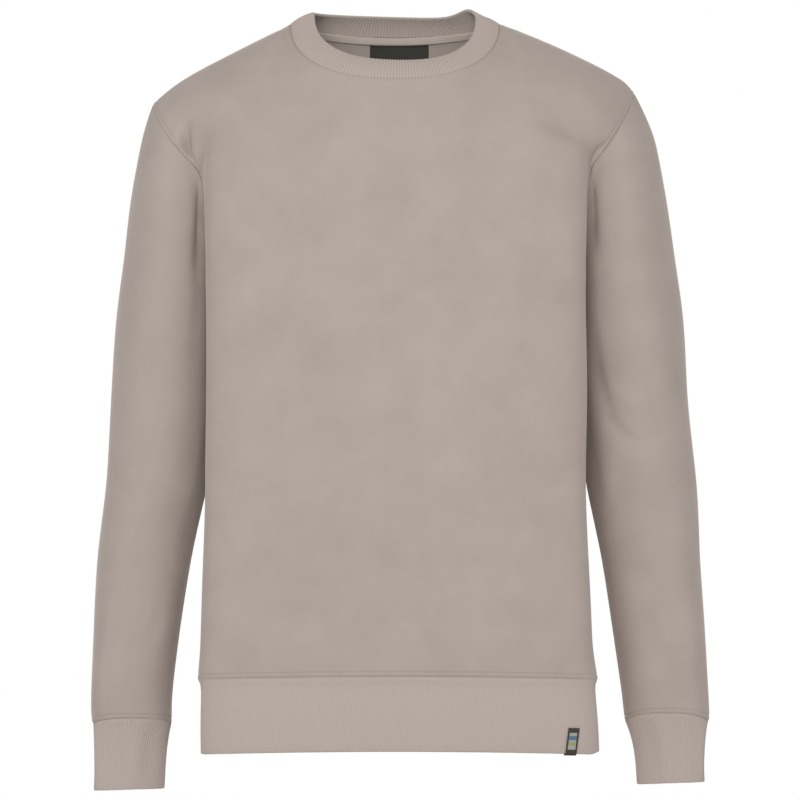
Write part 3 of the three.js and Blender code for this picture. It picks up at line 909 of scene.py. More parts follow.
@dataclass(frozen=True)
class Thread(Finish):
    """Spun polyester sewing thread, dyed to the cloth, a touch shinier and lighter than it."""

    def shade(self, tree: bpy.types.NodeTree) -> bpy.types.Node:
        """One colour with a fine twist as bumps."""
        place = node(tree, "TexCoord", {}).outputs["Object"]
        twist = node(tree, "TexNoise", {"Vector": place, "Scale": grains(0.5), "Detail": 1.0})
        base = linear(self.colour)
        shade = blend(tree, twist.outputs["Fac"], base, scaled(base, 0.86))
        bump = node(tree, "Bump", {"Height": twist.outputs["Fac"], "Strength": 0.2, "Distance": 0.1 * MM})
        return node(
            tree, "BsdfPrincipled",
            {"Base Color": shade, "Roughness": 0.7, "IOR": 1.5, "Normal": bump.outputs["Normal"]},
        )


@dataclass(frozen=True)
class MattPaint(Finish):
    """Matt white paint on a studio floor: pale, and hardly uneven."""

    def shade(self, tree: bpy.types.NodeTree) -> bpy.types.Node:
        """White with a faint roller texture."""
        place = node(tree, "TexCoord", {}).outputs["Object"]
        roller = node(tree, "TexNoise", {"Vector": place, "Scale": grains(9), "Detail": 2.0})
        bump = node(tree, "Bump", {"Height": roller.outputs["Fac"], "Strength": 0.05, "Distance": 0.5 * MM})
        return node(
            tree, "BsdfPrincipled",
            {"Base Color": linear(self.colour), "Roughness": 0.85, "Normal": bump.outputs["Normal"]},
        )


CLOTH_FINISH = FleeceJersey("cotton fleece jersey, piece dyed", "body_cloth", "#a99d96")
RIB_FINISH = RibKnit("cotton elastane rib, knitted", "rib", "#b0a49d")
TAPE_FINISH = FleeceJersey(
    "jersey binding tape, folded", "tape", "#beb3aa", dark="#b3a79e", wale=1.2, course=1.0
)
LABEL_FINISH = WovenRibbon("polyester satin ribbon, woven dark", "label", "#2f2c25")
STRIPE_FINISH = StripedRibbon("polyester satin ribbon, woven in stripes", "label", "#33302a")
THREAD_FINISH = Thread("spun polyester thread, dyed to match", "body_cloth", "#b0a59e")
NECK_THREAD_FINISH = Thread("textured polyester thread, paler", "body_cloth", "#bfb5ac")
FLOOR_FINISH = MattPaint("matt white floor paint, rolled", "floor", "#efefee")


@dataclass(frozen=True)
class NeckRing:
    """A closed line round the neck: its half width, and the depth and height of its front and back."""

    half: float
    z: float
    front_y: float
    front_z: float
    back_y: float
    back_z: float
    bend: float
    tilt: float
    hump: float = 0.0

    def at(self, angle: Array) -> Array:
        """Points of the ring at angles in degrees: 0 at the back, 90 at the right, 180 in front.

        Across goes as the sine and depth as the cosine, each with its size raised to 2 / bend.
        Height falls with depth in front, and with depth to the power 1.5 behind. A hump stands on
        it behind the right shoulder, a bell curve 20 degrees wide about 62 degrees.
        """
        turn = np.radians(angle)
        back = np.cos(turn) > 0
        across = np.sign(np.sin(turn)) * np.abs(np.sin(turn)) ** (2 / self.bend)
        depth = np.abs(np.cos(turn)) ** (2 / self.bend)
        x = NECK_X + self.half * across
        y = SHOULDER_Y + np.where(back, self.back_y, self.front_y) * depth
        low = np.where(back, self.back_z, self.front_z)
        z = mix(self.z, low, np.where(back, depth**1.5, depth)) + self.tilt * across
        z = z + self.hump * bell((angle - 62 + 180) % 360 - 180, 20)
        return np.stack([x, y, z], axis=-1)


NECK_SEAM = NeckRing(
    half=100.5, z=-2.5, front_y=-85, front_z=-55.2, back_y=78, back_z=-14, bend=2.33, tilt=0
)
COLLAR_TOP = NeckRing(
    half=77.4, z=7.8, front_y=-71, front_z=-36.5, back_y=71, back_z=6.8, bend=2.5, tilt=-2.0, hump=8.0
)


@dataclass
class Body:
    """The body's two panels, from the hem seam to the shoulder seams and the neck.

    Creases lie on a chart of x and z. The tucks are the folds that start beside the armholes.
    """

    low_rows: int = 88
    high_rows: int = 62
    half_columns: int = 55
    dense: int = 240
    front_bend: float = 2.5
    back_bend: float = 2.3
    corner_reach: float = 2.6
    side_round: float = 88.0
    neck_round: float = 52.0
    front_creases: tuple[Crease, ...] = (
        Crease((-125, -640), (-124, -330), 34, 2.4),
        Crease((132, -640), (131, -300), 34, 2.4),
        Crease((-176, -196), (-116, -286), 13, 1.3),
        Crease((170, -192), (120, -300), 14, 1.2),
        Crease((-160, -592), (-161, -634), 5, 0.8),
        Crease((-60, -520), (-30, -640), 22, 1.0),
        Crease((40, -470), (70, -640), 26, 1.1),
        Crease((-30, -150), (-80, -110), 20, 0.7),
        Crease((60, -150), (104, -104), 18, 0.6),
        Crease((150, -560), (176, -640), 12, 1.2),
        Crease((-176, -420), (-150, -560), 12, 1.1),
    )
    tucks: tuple[Crease, ...] = (
        Crease((-202, -98), (-194, -150), 5.0, 12.0),
        Crease((198, -118), (189, -146), 4.4, 8.0),
    )
    back_creases: tuple[Crease, ...] = (
        Crease((-70, -610), (-68, -250), 38, 4.0),
        Crease((82, -630), (84, -300), 36, 4.0),
        Crease((4, -650), (6, -470), 32, 3.0),
        Crease((-150, -210), (-70, -330), 16, 2.6),
        Crease((148, -200), (86, -310), 15, 2.3),
        Crease((-150, -300), (-96, -420), 13, 1.8),
        Crease((140, -330), (104, -450), 14, 1.7),
        Crease((-120, -520), (-20, -560), 15, 1.6),
        Crease((30, -540), (128, -590), 14, 1.8),
        Crease((-150, -570), (-60, -600), 11, 1.5),
        Crease((-60, -90), (-118, -130), 16, 1.1),
        Crease((62, -88), (124, -124), 15, 1.2),
        Crease((-20, -590), (10, -640), 9, 1.2),
    )

    def sections(self, side: Side, face: Face, z: Array, start: Array) -> Array:
        """Half sections of the body at many heights, from the side to the middle.

        A section first runs from its start to where the face turns, straight in depth and bent in
        width. Beside an armhole that corner lies only the table's share of the way to the fold.
        From there it is a quarter of a superellipse: x goes as the cosine and y as the sine of a
        turn, each raised to 2 / bend. It is then softened, which rounds the corner between the two.

        Args:
            side: The side.
            face: The face.
            z: The heights, (rows,).
            start: x from the middle and y of each start, (rows, 2).

        Returns:
            Points (rows, dense, 3), evenly spread.
        """
        front = face is Face.FRONT
        fold_x = BODY.at(side.word if front else "backFold", z)
        fold_y = BODY.at("foldY", z) if front else np.full(len(z), BACK_FOLD_Y)
        middle = BODY.at(face.word, z)[:, None]
        beside = TUCK.at(side.word, z) if front else np.zeros(len(z))
        turned = np.where(start[:, 0] < fold_x, 1, beside)
        corner_x = mix(start[:, 0], fold_x, turned)[:, None]
        corner_y = mix(start[:, 1], fold_y, turned)[:, None]
        f = np.linspace(0, 1, self.dense // 2)[None, :]
        share = f**1.25 if front else np.sin(f * math.pi / 2)
        run = np.stack([mix(start[:, :1], corner_x, share), mix(start[:, 1:], corner_y, f)], axis=2)
        turn = np.linspace(0, math.pi / 2, self.dense)[None, :]
        power = 2 / (self.front_bend if front else self.back_bend)
        across = corner_x * np.maximum(np.cos(turn), 0) ** power
        curve = np.stack([across, mix(corner_y, middle, np.sin(turn) ** power)], axis=2)
        line = np.concatenate([run, curve[:, 1:]], axis=1)
        line = spread(line, np.linspace(0, 1, self.dense))
        line = soften(line, self.corner_reach)
        line[:, :, 0] *= side.value
        height = np.broadcast_to(z[:, None, None], line.shape[:2] + (1,))
        return np.concatenate([line, height], axis=2)

    def top_edge(self, side: Side, face: Face, shares: Array) -> Array:
        """The upper edge of a half panel: along the shoulder seam, then round the neck to the middle."""
        f = np.linspace(0, 1, self.dense)
        table = SHOULDER[side]
        deep = np.full(len(f), SHOULDER_Y)
        seam = np.stack([side.value * table.at("x", f), deep, table.at("z", f)], axis=1)
        angle = 90 + 90 * f if face is Face.FRONT else 90 - 90 * f
        neck = NECK_SEAM.at(side.value * angle)
        neck[0] = seam[-1]
        on_seam = spread(seam[None], np.clip(shares / SHOULDER_SHARE, 0, 1))[0]
        on_neck = spread(neck[None], np.clip((shares - SHOULDER_SHARE) / (1 - SHOULDER_SHARE), 0, 1))[0]
        return np.where((shares <= SHOULDER_SHARE)[:, None], on_seam, on_neck)

    def half_panel(self, side: Side, face: Face) -> Array:
        """Half a panel as rows of points from the hem seam up, each from the side to the middle.

        Below the underarm the rows are level sections. Above it a column starts upright and leans
        in to the top edge: with f from 0 to 1, its height goes as sin(f round) and its lean as
        1 - cos(f round), where round falls from 88 degrees at the shoulder to 52 in the middle.

        Args:
            side: The side.
            face: The face.

        Returns:
            Points (rows, columns, 3).
        """
        shares = np.linspace(0, 1, self.half_columns + 1)
        z = np.linspace(HEM_SEAM_Z, UNDERARM_Z, self.low_rows, endpoint=False)
        start = np.stack([BODY.at("seam", z), BODY.at("seamY", z)], axis=1)
        low = spread(self.sections(side, face, z, start), shares)
        top = self.top_edge(side, face, shares)
        f = np.linspace(0, 1, self.high_rows + 1)
        rise = np.sin(np.radians(self.side_round) * f) / math.sin(math.radians(self.side_round))
        key = face.word + side.name.capitalize()
        hole = np.stack([ARMHOLE.at(key, rise), ARMHOLE.at(face.word + "Y", rise)], axis=1)
        base = spread(self.sections(side, face, mix(UNDERARM_Z, top[0, 2], rise), hole), shares)
        in_neck = np.clip((shares - SHOULDER_SHARE) / (1 - SHOULDER_SHARE), 0, 1)
        rounding = np.radians(mix(self.side_round, self.neck_round, in_neck))[None, :]
        lift = np.sin(f[:, None] * rounding) / np.sin(rounding)
        lean = (1 - np.cos(f[:, None] * rounding)) / (1 - np.cos(rounding))
        flat = base[-1]
        across = base[:, :, :2] + (top[:, :2] - flat[:, :2])[None] * lean[..., None]
        height = mix(UNDERARM_Z, top[None, :, 2], lift)
        high = np.concatenate([across, height[..., None]], axis=2)
        return np.concatenate([low, high])

    def smooth_panel(self, face: Face) -> Array:
        """A whole panel on an even grid, rows upwards, columns anticlockwise seen from above."""
        left = self.half_panel(Side.LEFT, face)
        right = self.half_panel(Side.RIGHT, face)
        whole = np.concatenate([left, right[:, -2::-1]], axis=1)
        if face is Face.FRONT:
            away = np.clip(np.abs(whole[:, :, 1]) / 90, 0, 1)
            arch = HEM_ARCH * np.maximum(0, 1 - (whole[:, :, 0] / 190) ** 2) * away
            whole[:, :, 2] += arch * bell(whole[:, :, 2] - HEM_SEAM_Z, 25)
        whole = relax(whole, 5, False)
        return whole if face is Face.FRONT else whole[:, ::-1]

    def panel(self, face: Face) -> Grid:
        """A finished panel: crowded at its sewn edges, with seams, folds and a soft unevenness."""
        even = self.smooth_panel(face)
        over = float(np.linalg.norm(np.diff(even[self.low_rows], axis=0), axis=1).mean())
        rows = crowded(len(even), 4.3, True, True)
        columns = crowded(even.shape[1], over, True, True)
        points = cubic_rows(even, rows)
        points = cubic_rows(points.transpose(1, 0, 2), columns).transpose(1, 0, 2)
        grid = Grid(points, False)
        up, down = grid.edge_distances()
        left, right = grid.side_distances()
        above = np.clip((rows - self.low_rows) / 3, 0, 1)[:, None]
        middle = (even.shape[1] - 1) / 2
        neck = (1 - SHOULDER_SHARE) * middle
        on_neck = (np.abs(columns - middle) <= neck + 0.3)[None, :].astype(float)
        seams = seam_relief(up, 1.0) + seam_relief(down, on_neck, 0.6, NECK_STITCH)
        seams += seam_relief(left, above) + seam_relief(right, above)
        nearest = np.minimum(np.minimum(up, down), np.minimum(left, right))
        inside = 1 - bell(nearest, 11)
        x, z = points[:, :, 0], points[:, :, 2]
        creases = self.front_creases if face is Face.FRONT else self.back_creases
        folds = sum(crease.lift(x, z) for crease in creases)
        uneven = 0.5 * np.sin(x / 31 + 1.3 * np.sin(z / 83)) * np.sin(z / 57 + 0.9)
        uneven += 0.35 * np.sin(x / 17 - z / 41 + 2.1)
        facing = np.clip(np.abs(points[:, :, 1]) / 80, 0, 1)
        lift = seams + (folds + uneven) * inside * facing
        if face is Face.FRONT:
            lift += sum(crease.lift(x, z) for crease in self.tucks) * (1 - bell(nearest, 4))
        return grid.lifted(lift)

    def build(self) -> dict[Face, Grid]:
        """Makes both panels and dresses them."""
        grids = {}
        for face in Face:
            grid = self.panel(face)
            piece = Maker.shell(face.word + "_panel_cloth", grid, CLOTH, CLOTH_FINISH)
            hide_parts(face.word + "_panel")
            Maker.measured(piece, 2)
            grids[face] = grid
        return grids


@dataclass
class Sleeve:
    """A set-in sleeve, from the armhole seam to the cuff seam.

    Creases lie on a chart of the distance round the sleeve from the underarm, forwards first, and
    of z. The cuff seam rides up in front by the arch.
    """

    side: Side
    arch: float
    creases: tuple[Crease, ...]
    high_rows: int = 40
    low_rows: int = 66
    column_arc: float = 55.0

    def section(self, angle: Array, z: Array) -> Array:
        """Points of the sleeve's sections: an ellipse round its middle, squarer towards the cuff.

        Args:
            angle: Degrees round it: 0 inside, 90 in front, 180 outside.
            z: Heights, of the same shape.

        Returns:
            Points, x going as minus the cosine and y as minus the sine. Each has its size raised to
            2 / bend, where bend grows from 2 above z = -430 to 2.5 below -590.
        """
        table = SLEEVES[self.side]
        outer, inner = table.at("outer", z), table.at("inner", z)
        turn = np.radians(angle)
        power = 2 / (2 + 0.5 * np.clip((-430 - z) / 160, 0, 1))
        across = np.sign(np.cos(turn)) * np.abs(np.cos(turn)) ** power
        depth = np.sign(np.sin(turn)) * np.abs(np.sin(turn)) ** power
        x = (outer + inner) / 2 - (outer - inner) / 2 * across
        y = table.at("mid", z) - table.at("half", z) * depth
        return np.stack([self.side.value * x, y, z], axis=-1)

    def cuff_seam(self, angle: Array) -> Array:
        """The cuff seam's height round the sleeve: it rides up in front as a sine to the power 1.5."""
        low = SLEEVES[self.side].rows[0][0]
        return low + self.arch * np.maximum(0, np.sin(np.radians(angle))) ** 1.5

    def armhole(self, body: Body, panels: dict[Face, Array]) -> Array:
        """The armhole seam as a ring: up the front panel's edge, then down the back panel's."""
        low = body.low_rows
        column = {
            Face.FRONT: 0 if self.side is Side.LEFT else -1,
            Face.BACK: -1 if self.side is Side.LEFT else 0,
        }
        up = panels[Face.FRONT][low:, column[Face.FRONT]]
        down = panels[Face.BACK][low:, column[Face.BACK]][::-1]
        return np.concatenate([up, down[1:-1]])

    def tube(self, ring: Array) -> tuple[Array, Array]:
        """The sleeve on an even grid, rings downwards from the armhole.

        Each upper ring lies a share f of the way from the armhole's height to a level one. There
        the section is moved by the armhole's own distance from it, times (1 - f) squared.

        Args:
            ring: The armhole seam.

        Returns:
            Points (rings, columns, 3), and the columns' angles in degrees.
        """
        angle = 360 * np.arange(len(ring)) / len(ring)
        held = ring - self.section(angle, ring[:, 2])
        f = np.linspace(0, 1, self.high_rows)[:, None] ** 1.25
        z = mix(ring[None, :, 2], SLEEVE_LEVEL_Z, f)
        high = self.section(np.broadcast_to(angle, z.shape), z) + held[None] * ((1 - f) ** 2)[..., None]
        high[..., 2] = z
        g = np.linspace(0, 1, self.low_rows + 1)[1:, None]
        z = mix(SLEEVE_LEVEL_Z, self.cuff_seam(angle)[None], g)
        level = np.minimum(z, mix(SLEEVE_LEVEL_Z, SLEEVES[self.side].rows[0][0], g))
        low = self.section(np.broadcast_to(angle, z.shape), level)
        low[..., 2] = z
        return relax(np.concatenate([high, low]), 6, True), angle

    def build(self, body: Body, panels: dict[Face, Array]) -> Grid:
        """Makes the sleeve and dresses it.

        Args:
            body: The body.
            panels: Its panels on even grids.

        Returns:
            The finished grid.
        """
        even, angle = self.tube(self.armhole(body, panels))
        rows = crowded(len(even), 5.0, True, True)
        near = np.array([0.0, 0.25, 0.5, 0.8])
        count = len(angle)
        columns = np.concatenate([near, np.arange(2, count - 1), count - near[:0:-1]])
        points = cubic_rows(even, rows)
        points = cubic_rows(points.transpose(1, 0, 2), columns, True).transpose(1, 0, 2)
        turned = columns * 360 / count
        if self.side is Side.LEFT:
            points = np.roll(points[:, ::-1], 1, axis=1)
            turned = np.roll(turned[::-1], 1)
        grid = Grid(points[::-1], True)
        up, down = grid.edge_distances()
        seams = seam_relief(up, 1.0) + seam_relief(down, 0.0, 0.7)
        arc = (turned + 180) % 360 - 180
        forward = 11 * np.clip(-(grid.points[:, :, 2] + 300) / 250, 0, 1)
        under = np.radians(arc[None, :] - forward) * self.column_arc
        seams -= 0.8 * bell(under, 1.2)
        inside = 1 - bell(np.minimum(up, down), 12)
        z = grid.points[:, :, 2]
        chart = np.broadcast_to(np.radians(turned) * self.column_arc, z.shape)
        whole = 2 * math.pi * self.column_arc
        folds = sum(
            crease.lift(chart + shift, z) for crease in self.creases for shift in (-whole, 0, whole)
        )
        uneven = 0.4 * np.sin(z / 37 + 2 * np.radians(turned)) * np.sin(3 * np.radians(turned) + 1)
        grid = grid.lifted(seams + (folds + uneven) * inside)
        clear = 0.4 * np.clip(-(grid.points[:, :, 2] + 140) / 100, 0, 1)
        grid.points[:, :, 0] += self.side.value * clear
        name = "sleeve_" + self.side.word
        piece = Maker.shell(name + "_cloth", grid, CLOTH, CLOTH_FINISH)
        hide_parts(name)
        Maker.measured(piece, 2)
        return grid


@dataclass
class RibTube:
    """A doubled band of rib: cloth folded over at one edge and sewn at the other, ribbed on both faces."""

    name: str
    pitch: float
    per_rib: int = 4
    outer_rows: int = 11
    fold_rows: int = 6
    relief: float = 0.3
    # contrast: how far painted shade darkens the grooves, through the crest attribute
    contrast: float = 1.0
    thick: float = RIB_CLOTH

    def count(self, length: float) -> int:
        """The number of ribs round an edge of a length."""
        return round(length / self.pitch)

    def build(self, outer: Array, flat: tuple[float, float]) -> bpy.types.Object:
        """Makes the band from its outer face.

        The section runs down the outer face, half round the folded edge, and up the inner face to
        the sewn edge again. A rib is a cosine round the band, of the same height all the way.

        Args:
            outer: The outer face, rows from the sewn edge to the fold, with whole ribs of columns.
            flat: The sides in millimetres of what shows of it, laid flat. It is not used.

        Returns:
            The piece.
        """
        columns = outer.shape[1]
        normals = -normals_of(outer, True)
        if float((normals[0] * (outer[0] - outer[0].mean(axis=0))).sum()) < 0:
            normals = -normals
        way = outer[-1] - outer[-2]
        way /= np.linalg.norm(way, axis=1, keepdims=True)
        turn = np.linspace(0, math.pi, self.fold_rows + 2)[1:-1, None, None]
        half = self.thick / 2
        middle = outer[-1] - normals[-1] * half
        fold = middle[None] + half * (normals[-1][None] * np.cos(turn) + way[None] * np.sin(turn))
        fold_out = normals[-1][None] * np.cos(turn) + way[None] * np.sin(turn)
        inner = (outer - normals * self.thick)[::-1]
        surface = np.concatenate([outer, fold, inner])
        outward = np.concatenate([normals, fold_out, -normals[::-1]])
        wave = np.cos(2 * math.pi * np.arange(columns) / self.per_rib)
        points = surface + outward * (self.relief * wave)[None, :, None]
        quads, uses = Maker.wrapped(len(points), columns, True, True)
        if self.faces_in(points, quads, outward):
            quads, uses = quads[:, ::-1], uses[:, ::-1]
        closed = np.concatenate([surface, surface[:1]])
        closed = np.concatenate([closed, closed[:, :1]], axis=1)
        round_it = along_axis(closed)
        down_it = along_axis(closed.transpose(1, 0, 2)).T
        cut = np.stack([round_it, down_it], axis=2) * MM
        corners = cut.reshape(-1, 2)[uses]
        piece = Maker.put(self.name + "_rib", points.reshape(-1, 3), quads, corners, RIB_FINISH)
        # crest is 1 on the cords and lower in the grooves; the rib finish paints shade into the grooves with
        # it.
        crest = piece.data.attributes.new("crest", "FLOAT", "POINT")
        value = np.broadcast_to(1 - self.contrast * (1 - wave) / 2, points.shape[:2])
        crest.data.foreach_set("value", value.astype(np.float32).ravel())
        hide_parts(self.name)
        return piece

    @staticmethod
    def faces_in(points: Array, quads: Array, outward: Array) -> bool:
        """Whether the quads face against the given outward directions."""
        flat = points.reshape(-1, 3)
        a, b, d = flat[quads[:, 0]], flat[quads[:, 1]], flat[quads[:, 3]]
        facing = np.cross(b - a, d - a)
        return float((facing * outward.reshape(-1, 3)[quads[:, 0]]).sum()) < 0


@dataclass
class HemBand:
    """The hem: a doubled rib band from the hem seam to its folded lower edge."""

    pitch: float = 2.15
    drawn: float = 2.6
    ride_up: float = 2.6

    def ring(self, body: Body, z: float) -> Array:
        """The body's closed section at a height, anticlockwise from the left seam, arched in front."""
        at = np.array([z])
        start = np.stack([BODY.at("seam", at), BODY.at("seamY", at)], axis=1)
        half = {(s, f): body.sections(s, f, at, start)[0] for s in Side for f in Face}
        line = np.concatenate(
            [
                half[Side.LEFT, Face.FRONT][:-1],
                half[Side.RIGHT, Face.FRONT][:0:-1],
                half[Side.RIGHT, Face.BACK][:-1],
                half[Side.LEFT, Face.BACK][:0:-1],
            ]
        )
        away = np.clip(-line[:, 1] / 90, 0, 1)
        line[:, 2] += HEM_ARCH * np.maximum(0, 1 - (line[:, 0] / 190) ** 2) * away
        return line

    def outer(self, body: Body, columns: int, rows: int) -> Array:
        """The band's outer face, rows from the seam down to where the fold begins.

        It is straight between its two rings, drawn in a little just below the seam, where the
        body's cloth stands over it. Its lower edge waves by a fraction of a millimetre, and rides
        up by 2.6 mm at the sides.
        """
        shares = np.arange(columns) / columns
        rings = [self.ring(body, z) for z in (HEM_SEAM_Z, HEM_BOTTOM_Z)]
        top, low = (spread(np.concatenate([r, r[:1]])[None], shares)[0] for r in rings)
        f = np.linspace(0, 1, rows)[:, None, None] ** 1.15
        face = mix(top[None], low[None], f)
        face[..., 2] += RIB_CLOTH / 2 * f[..., 0]
        centre = face.mean(axis=1, keepdims=True)
        way = face - centre
        way[..., 2] = 0
        way /= np.linalg.norm(way, axis=2, keepdims=True)
        drop = HEM_HEIGHT * f[..., 0]
        drawn = self.drawn * (1 - bell(drop, 4)) * bell(drop, 36)
        wave = 0.5 * np.sin(shares * 2 * math.pi * 7 + 1) + 0.4 * np.sin(shares * 2 * math.pi * 17)
        face = face - way * drawn[..., None]
        face = face + way * (wave[None, :, None] * f)
        corner = np.clip((np.abs(face[..., 0]) - 184) / 9, 0, 1) ** 2
        face[..., 2] += self.ride_up * corner * f[..., 0] ** 3
        return face

    def build(self, body: Body) -> Array:
        """Makes the band.

        Args:
            body: The body, which the band hangs from.

        Returns:
            The outer face, for the label that is sewn to it.
        """
        tube = RibTube("hem_band", self.pitch, relief=0.17, contrast=0.62)
        ring = self.ring(body, HEM_BOTTOM_Z)
        length = float(along_axis(np.concatenate([ring, ring[:1]])[None])[0, -1])
        columns = tube.count(length) * tube.per_rib
        face = self.outer(body, columns, tube.outer_rows)
        tube.build(face, (length, HEM_HEIGHT))
        return face


@dataclass
class Cuff:
    """A cuff: a doubled rib tube from the sleeve's end to its folded edge at the wrist."""

    sleeve: Sleeve
    x: float
    y: float
    half_x: float
    half_y: float
    length: float
    slope: float
    pitch: float = 2.15
    ease: float = 30.0  # how much longer the cut is than the way round the lower ring

    def outer(self, columns: int, rows: int) -> Array:
        """The cuff's outer face.

        The upper ring is the sleeve's last section and the lower one a smaller ellipse. The cloth
        draws in fast below the seam: its share of the way in is 1 - (1 - f) to the power 2.7.
        """
        angle = np.linspace(0, 360, 721)
        seam = self.sleeve.cuff_seam(angle)
        top = self.sleeve.section(angle, np.full(len(angle), SLEEVES[self.sleeve.side].rows[0][0]))
        top[:, 2] = seam
        turn = np.radians(angle)
        sign = self.sleeve.side.value
        bottom_z = SLEEVES[self.sleeve.side].rows[0][0] - self.length + RIB_CLOTH / 2
        low = np.stack(
            [
                self.x - sign * self.half_x * np.cos(turn),
                self.y - self.half_y * np.sin(turn),
                bottom_z + self.slope * np.cos(turn),
            ],
            axis=1,
        )
        shares = np.arange(columns) / columns
        top, low = spread(top[None], shares)[0], spread(low[None], shares)[0]
        f = np.linspace(0, 1, rows)[:, None, None] ** 1.2
        face = mix(top[None], low[None], f)
        drawn = 1 - (1 - f) ** 2.7
        face[..., :2] = mix(top[None, :, :2], low[None, :, :2], drawn)
        wave = 0.7 * np.sin(shares * 2 * math.pi * 5 + 0.6) + 0.5 * np.sin(shares * 2 * math.pi * 9 + 2)
        out = face[..., :2] - face[..., :2].mean(axis=1, keepdims=True)
        out /= np.linalg.norm(out, axis=2, keepdims=True)
        face[..., :2] += out * wave[None, :, None] * (f * (1 - f) * 4)
        return face

    def build(self) -> None:
        """Makes the cuff."""
        name = "cuff_" + self.sleeve.side.word
        tube = RibTube(name, self.pitch, per_rib=6, outer_rows=14, relief=0.26, contrast=0.6)
        around = math.pi * (self.half_x + self.half_y)
        columns = tube.count(around) * tube.per_rib
        tube.build(self.outer(columns, tube.outer_rows), (around + self.ease, self.length))


@dataclass
class Collar:
    """The collar: a doubled rib ring from the neck seam to its folded upper edge."""

    pitch: float = 2.55
    bulge: float = 1.6
    height: float = 26.0
    fullness: float = 1.12  # the cut's length over the upper edge's

    def outer(self, columns: int, rows: int) -> Array:
        """The collar's outer face, straight between its two rings but for a bulge of 4 f (1 - f)."""
        angle = -np.linspace(0, 360, 1441)
        shares = np.arange(columns) / columns
        low = spread(NECK_SEAM.at(angle)[None], shares)[0]
        high = spread(COLLAR_TOP.at(angle)[None], shares)[0]
        way = high - low
        high = high - way / np.linalg.norm(way, axis=1, keepdims=True) * RIB_CLOTH / 2
        f = np.linspace(0, 1, rows)[:, None, None]
        face = mix(low[None], high[None], f)
        outward = normals_of(face, True)
        if float((outward * (face - face.mean(axis=(0, 1)))).sum()) < 0:
            outward = -outward
        return face + outward * (4 * f * (1 - f) * self.bulge)

    def build(self) -> None:
        """Makes the collar."""
        tube = RibTube("collar", self.pitch, per_rib=6, outer_rows=14)
        edge = COLLAR_TOP.at(np.linspace(0, 360, 721))
        length = float(along_axis(edge[None])[0, -1])
        columns = tube.count(length) * tube.per_rib
        tube.build(self.outer(columns, tube.outer_rows), (self.fullness * length, self.height))


@dataclass
class NeckTrim:
    """What lies inside the back of the neck: the binding tape and, below it, a bare woven label."""

    tape_half: float = 84.0
    tape_top: float = -0.3
    tape_bottom: float = -7.8
    label_x: float = 2.2
    label_half: float = 28.2
    tape_gap: float = 1.7
    tape_puff: float = 1.2
    tape_thick: float = 0.9
    tape_cut: float = 10.0
    label_top: float = -7.0
    label_bottom: float = -45.0
    label_gap: float = 0.9
    label_thick: float = 0.5

    @staticmethod
    def depth(back: Grid, x: Array, z: Array) -> Array:
        """How far back the inner face of the back panel lies at places x, z of the same shape.

        Each row is read at the wanted x, and each upright line of those readings at the wanted z.

        Args:
            back: The back panel.
            x: Places across, the same in every row.
            z: Heights, rising from row to row.

        Returns:
            y of the inner face there.
        """
        rows = back.points[:, ::-1]
        upper = rows[len(rows) // 2 :]
        flat = x[0]
        by_x = read_lines(upper[:, :, 0], flat, upper[:, :, 1:])
        columns = by_x.transpose(1, 0, 2)
        return read_lines(columns[:, :, 1], z.T, columns[:, :, :1])[..., 0].T - CLOTH

    @staticmethod
    def seam_height(x: Array) -> Array:
        """The back neck seam's height: it rises from the middle as the square of the distance from it."""
        across = np.abs(x - NECK_X) / NECK_SEAM.half
        return mix(NECK_SEAM.back_z, NECK_SEAM.z, 0.9 * across**2)

    def strip(self, back: Grid, x: Array, drop: Array, gap: float) -> Grid:
        """A strip inside the back panel, facing forwards: rows upwards, columns from the left."""
        wide = np.broadcast_to(x, (len(drop), len(x)))
        z = self.seam_height(wide) + drop[:, None]
        y = self.depth(back, wide, z) - gap
        return Grid(np.stack([wide, y, z], axis=2), False)

    def build(self, back: Grid) -> None:
        """Makes the tape and the label."""
        x = NECK_X + np.linspace(-self.tape_half, self.tape_half, 150)
        drop = np.linspace(self.tape_bottom, self.tape_top, 13)
        tape = self.strip(back, x, drop, self.tape_gap)
        puff = self.tape_puff * np.sin(np.linspace(0, math.pi, len(drop))) ** 0.7
        tape = tape.lifted(np.broadcast_to(puff[:, None], tape.points.shape[:2]))
        piece = Maker.shell("neck_tape_binding", tape, self.tape_thick, TAPE_FINISH)
        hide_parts("neck_tape")
        x = self.label_x + np.linspace(-self.label_half, self.label_half, 60)
        drop = np.linspace(self.label_bottom, self.label_top, 46)
        label = self.strip(back, x, drop, self.label_gap)
        hang = np.linspace(1, 0, len(drop))[:, None]
        over = np.linspace(-1, 1, len(x))[None, :]
        label = label.lifted(0.9 * hang**1.5 + 0.5 * hang * over**2)
        piece = Maker.shell("neck_label_ribbon", label, self.label_thick, LABEL_FINISH)
        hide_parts("neck_label")


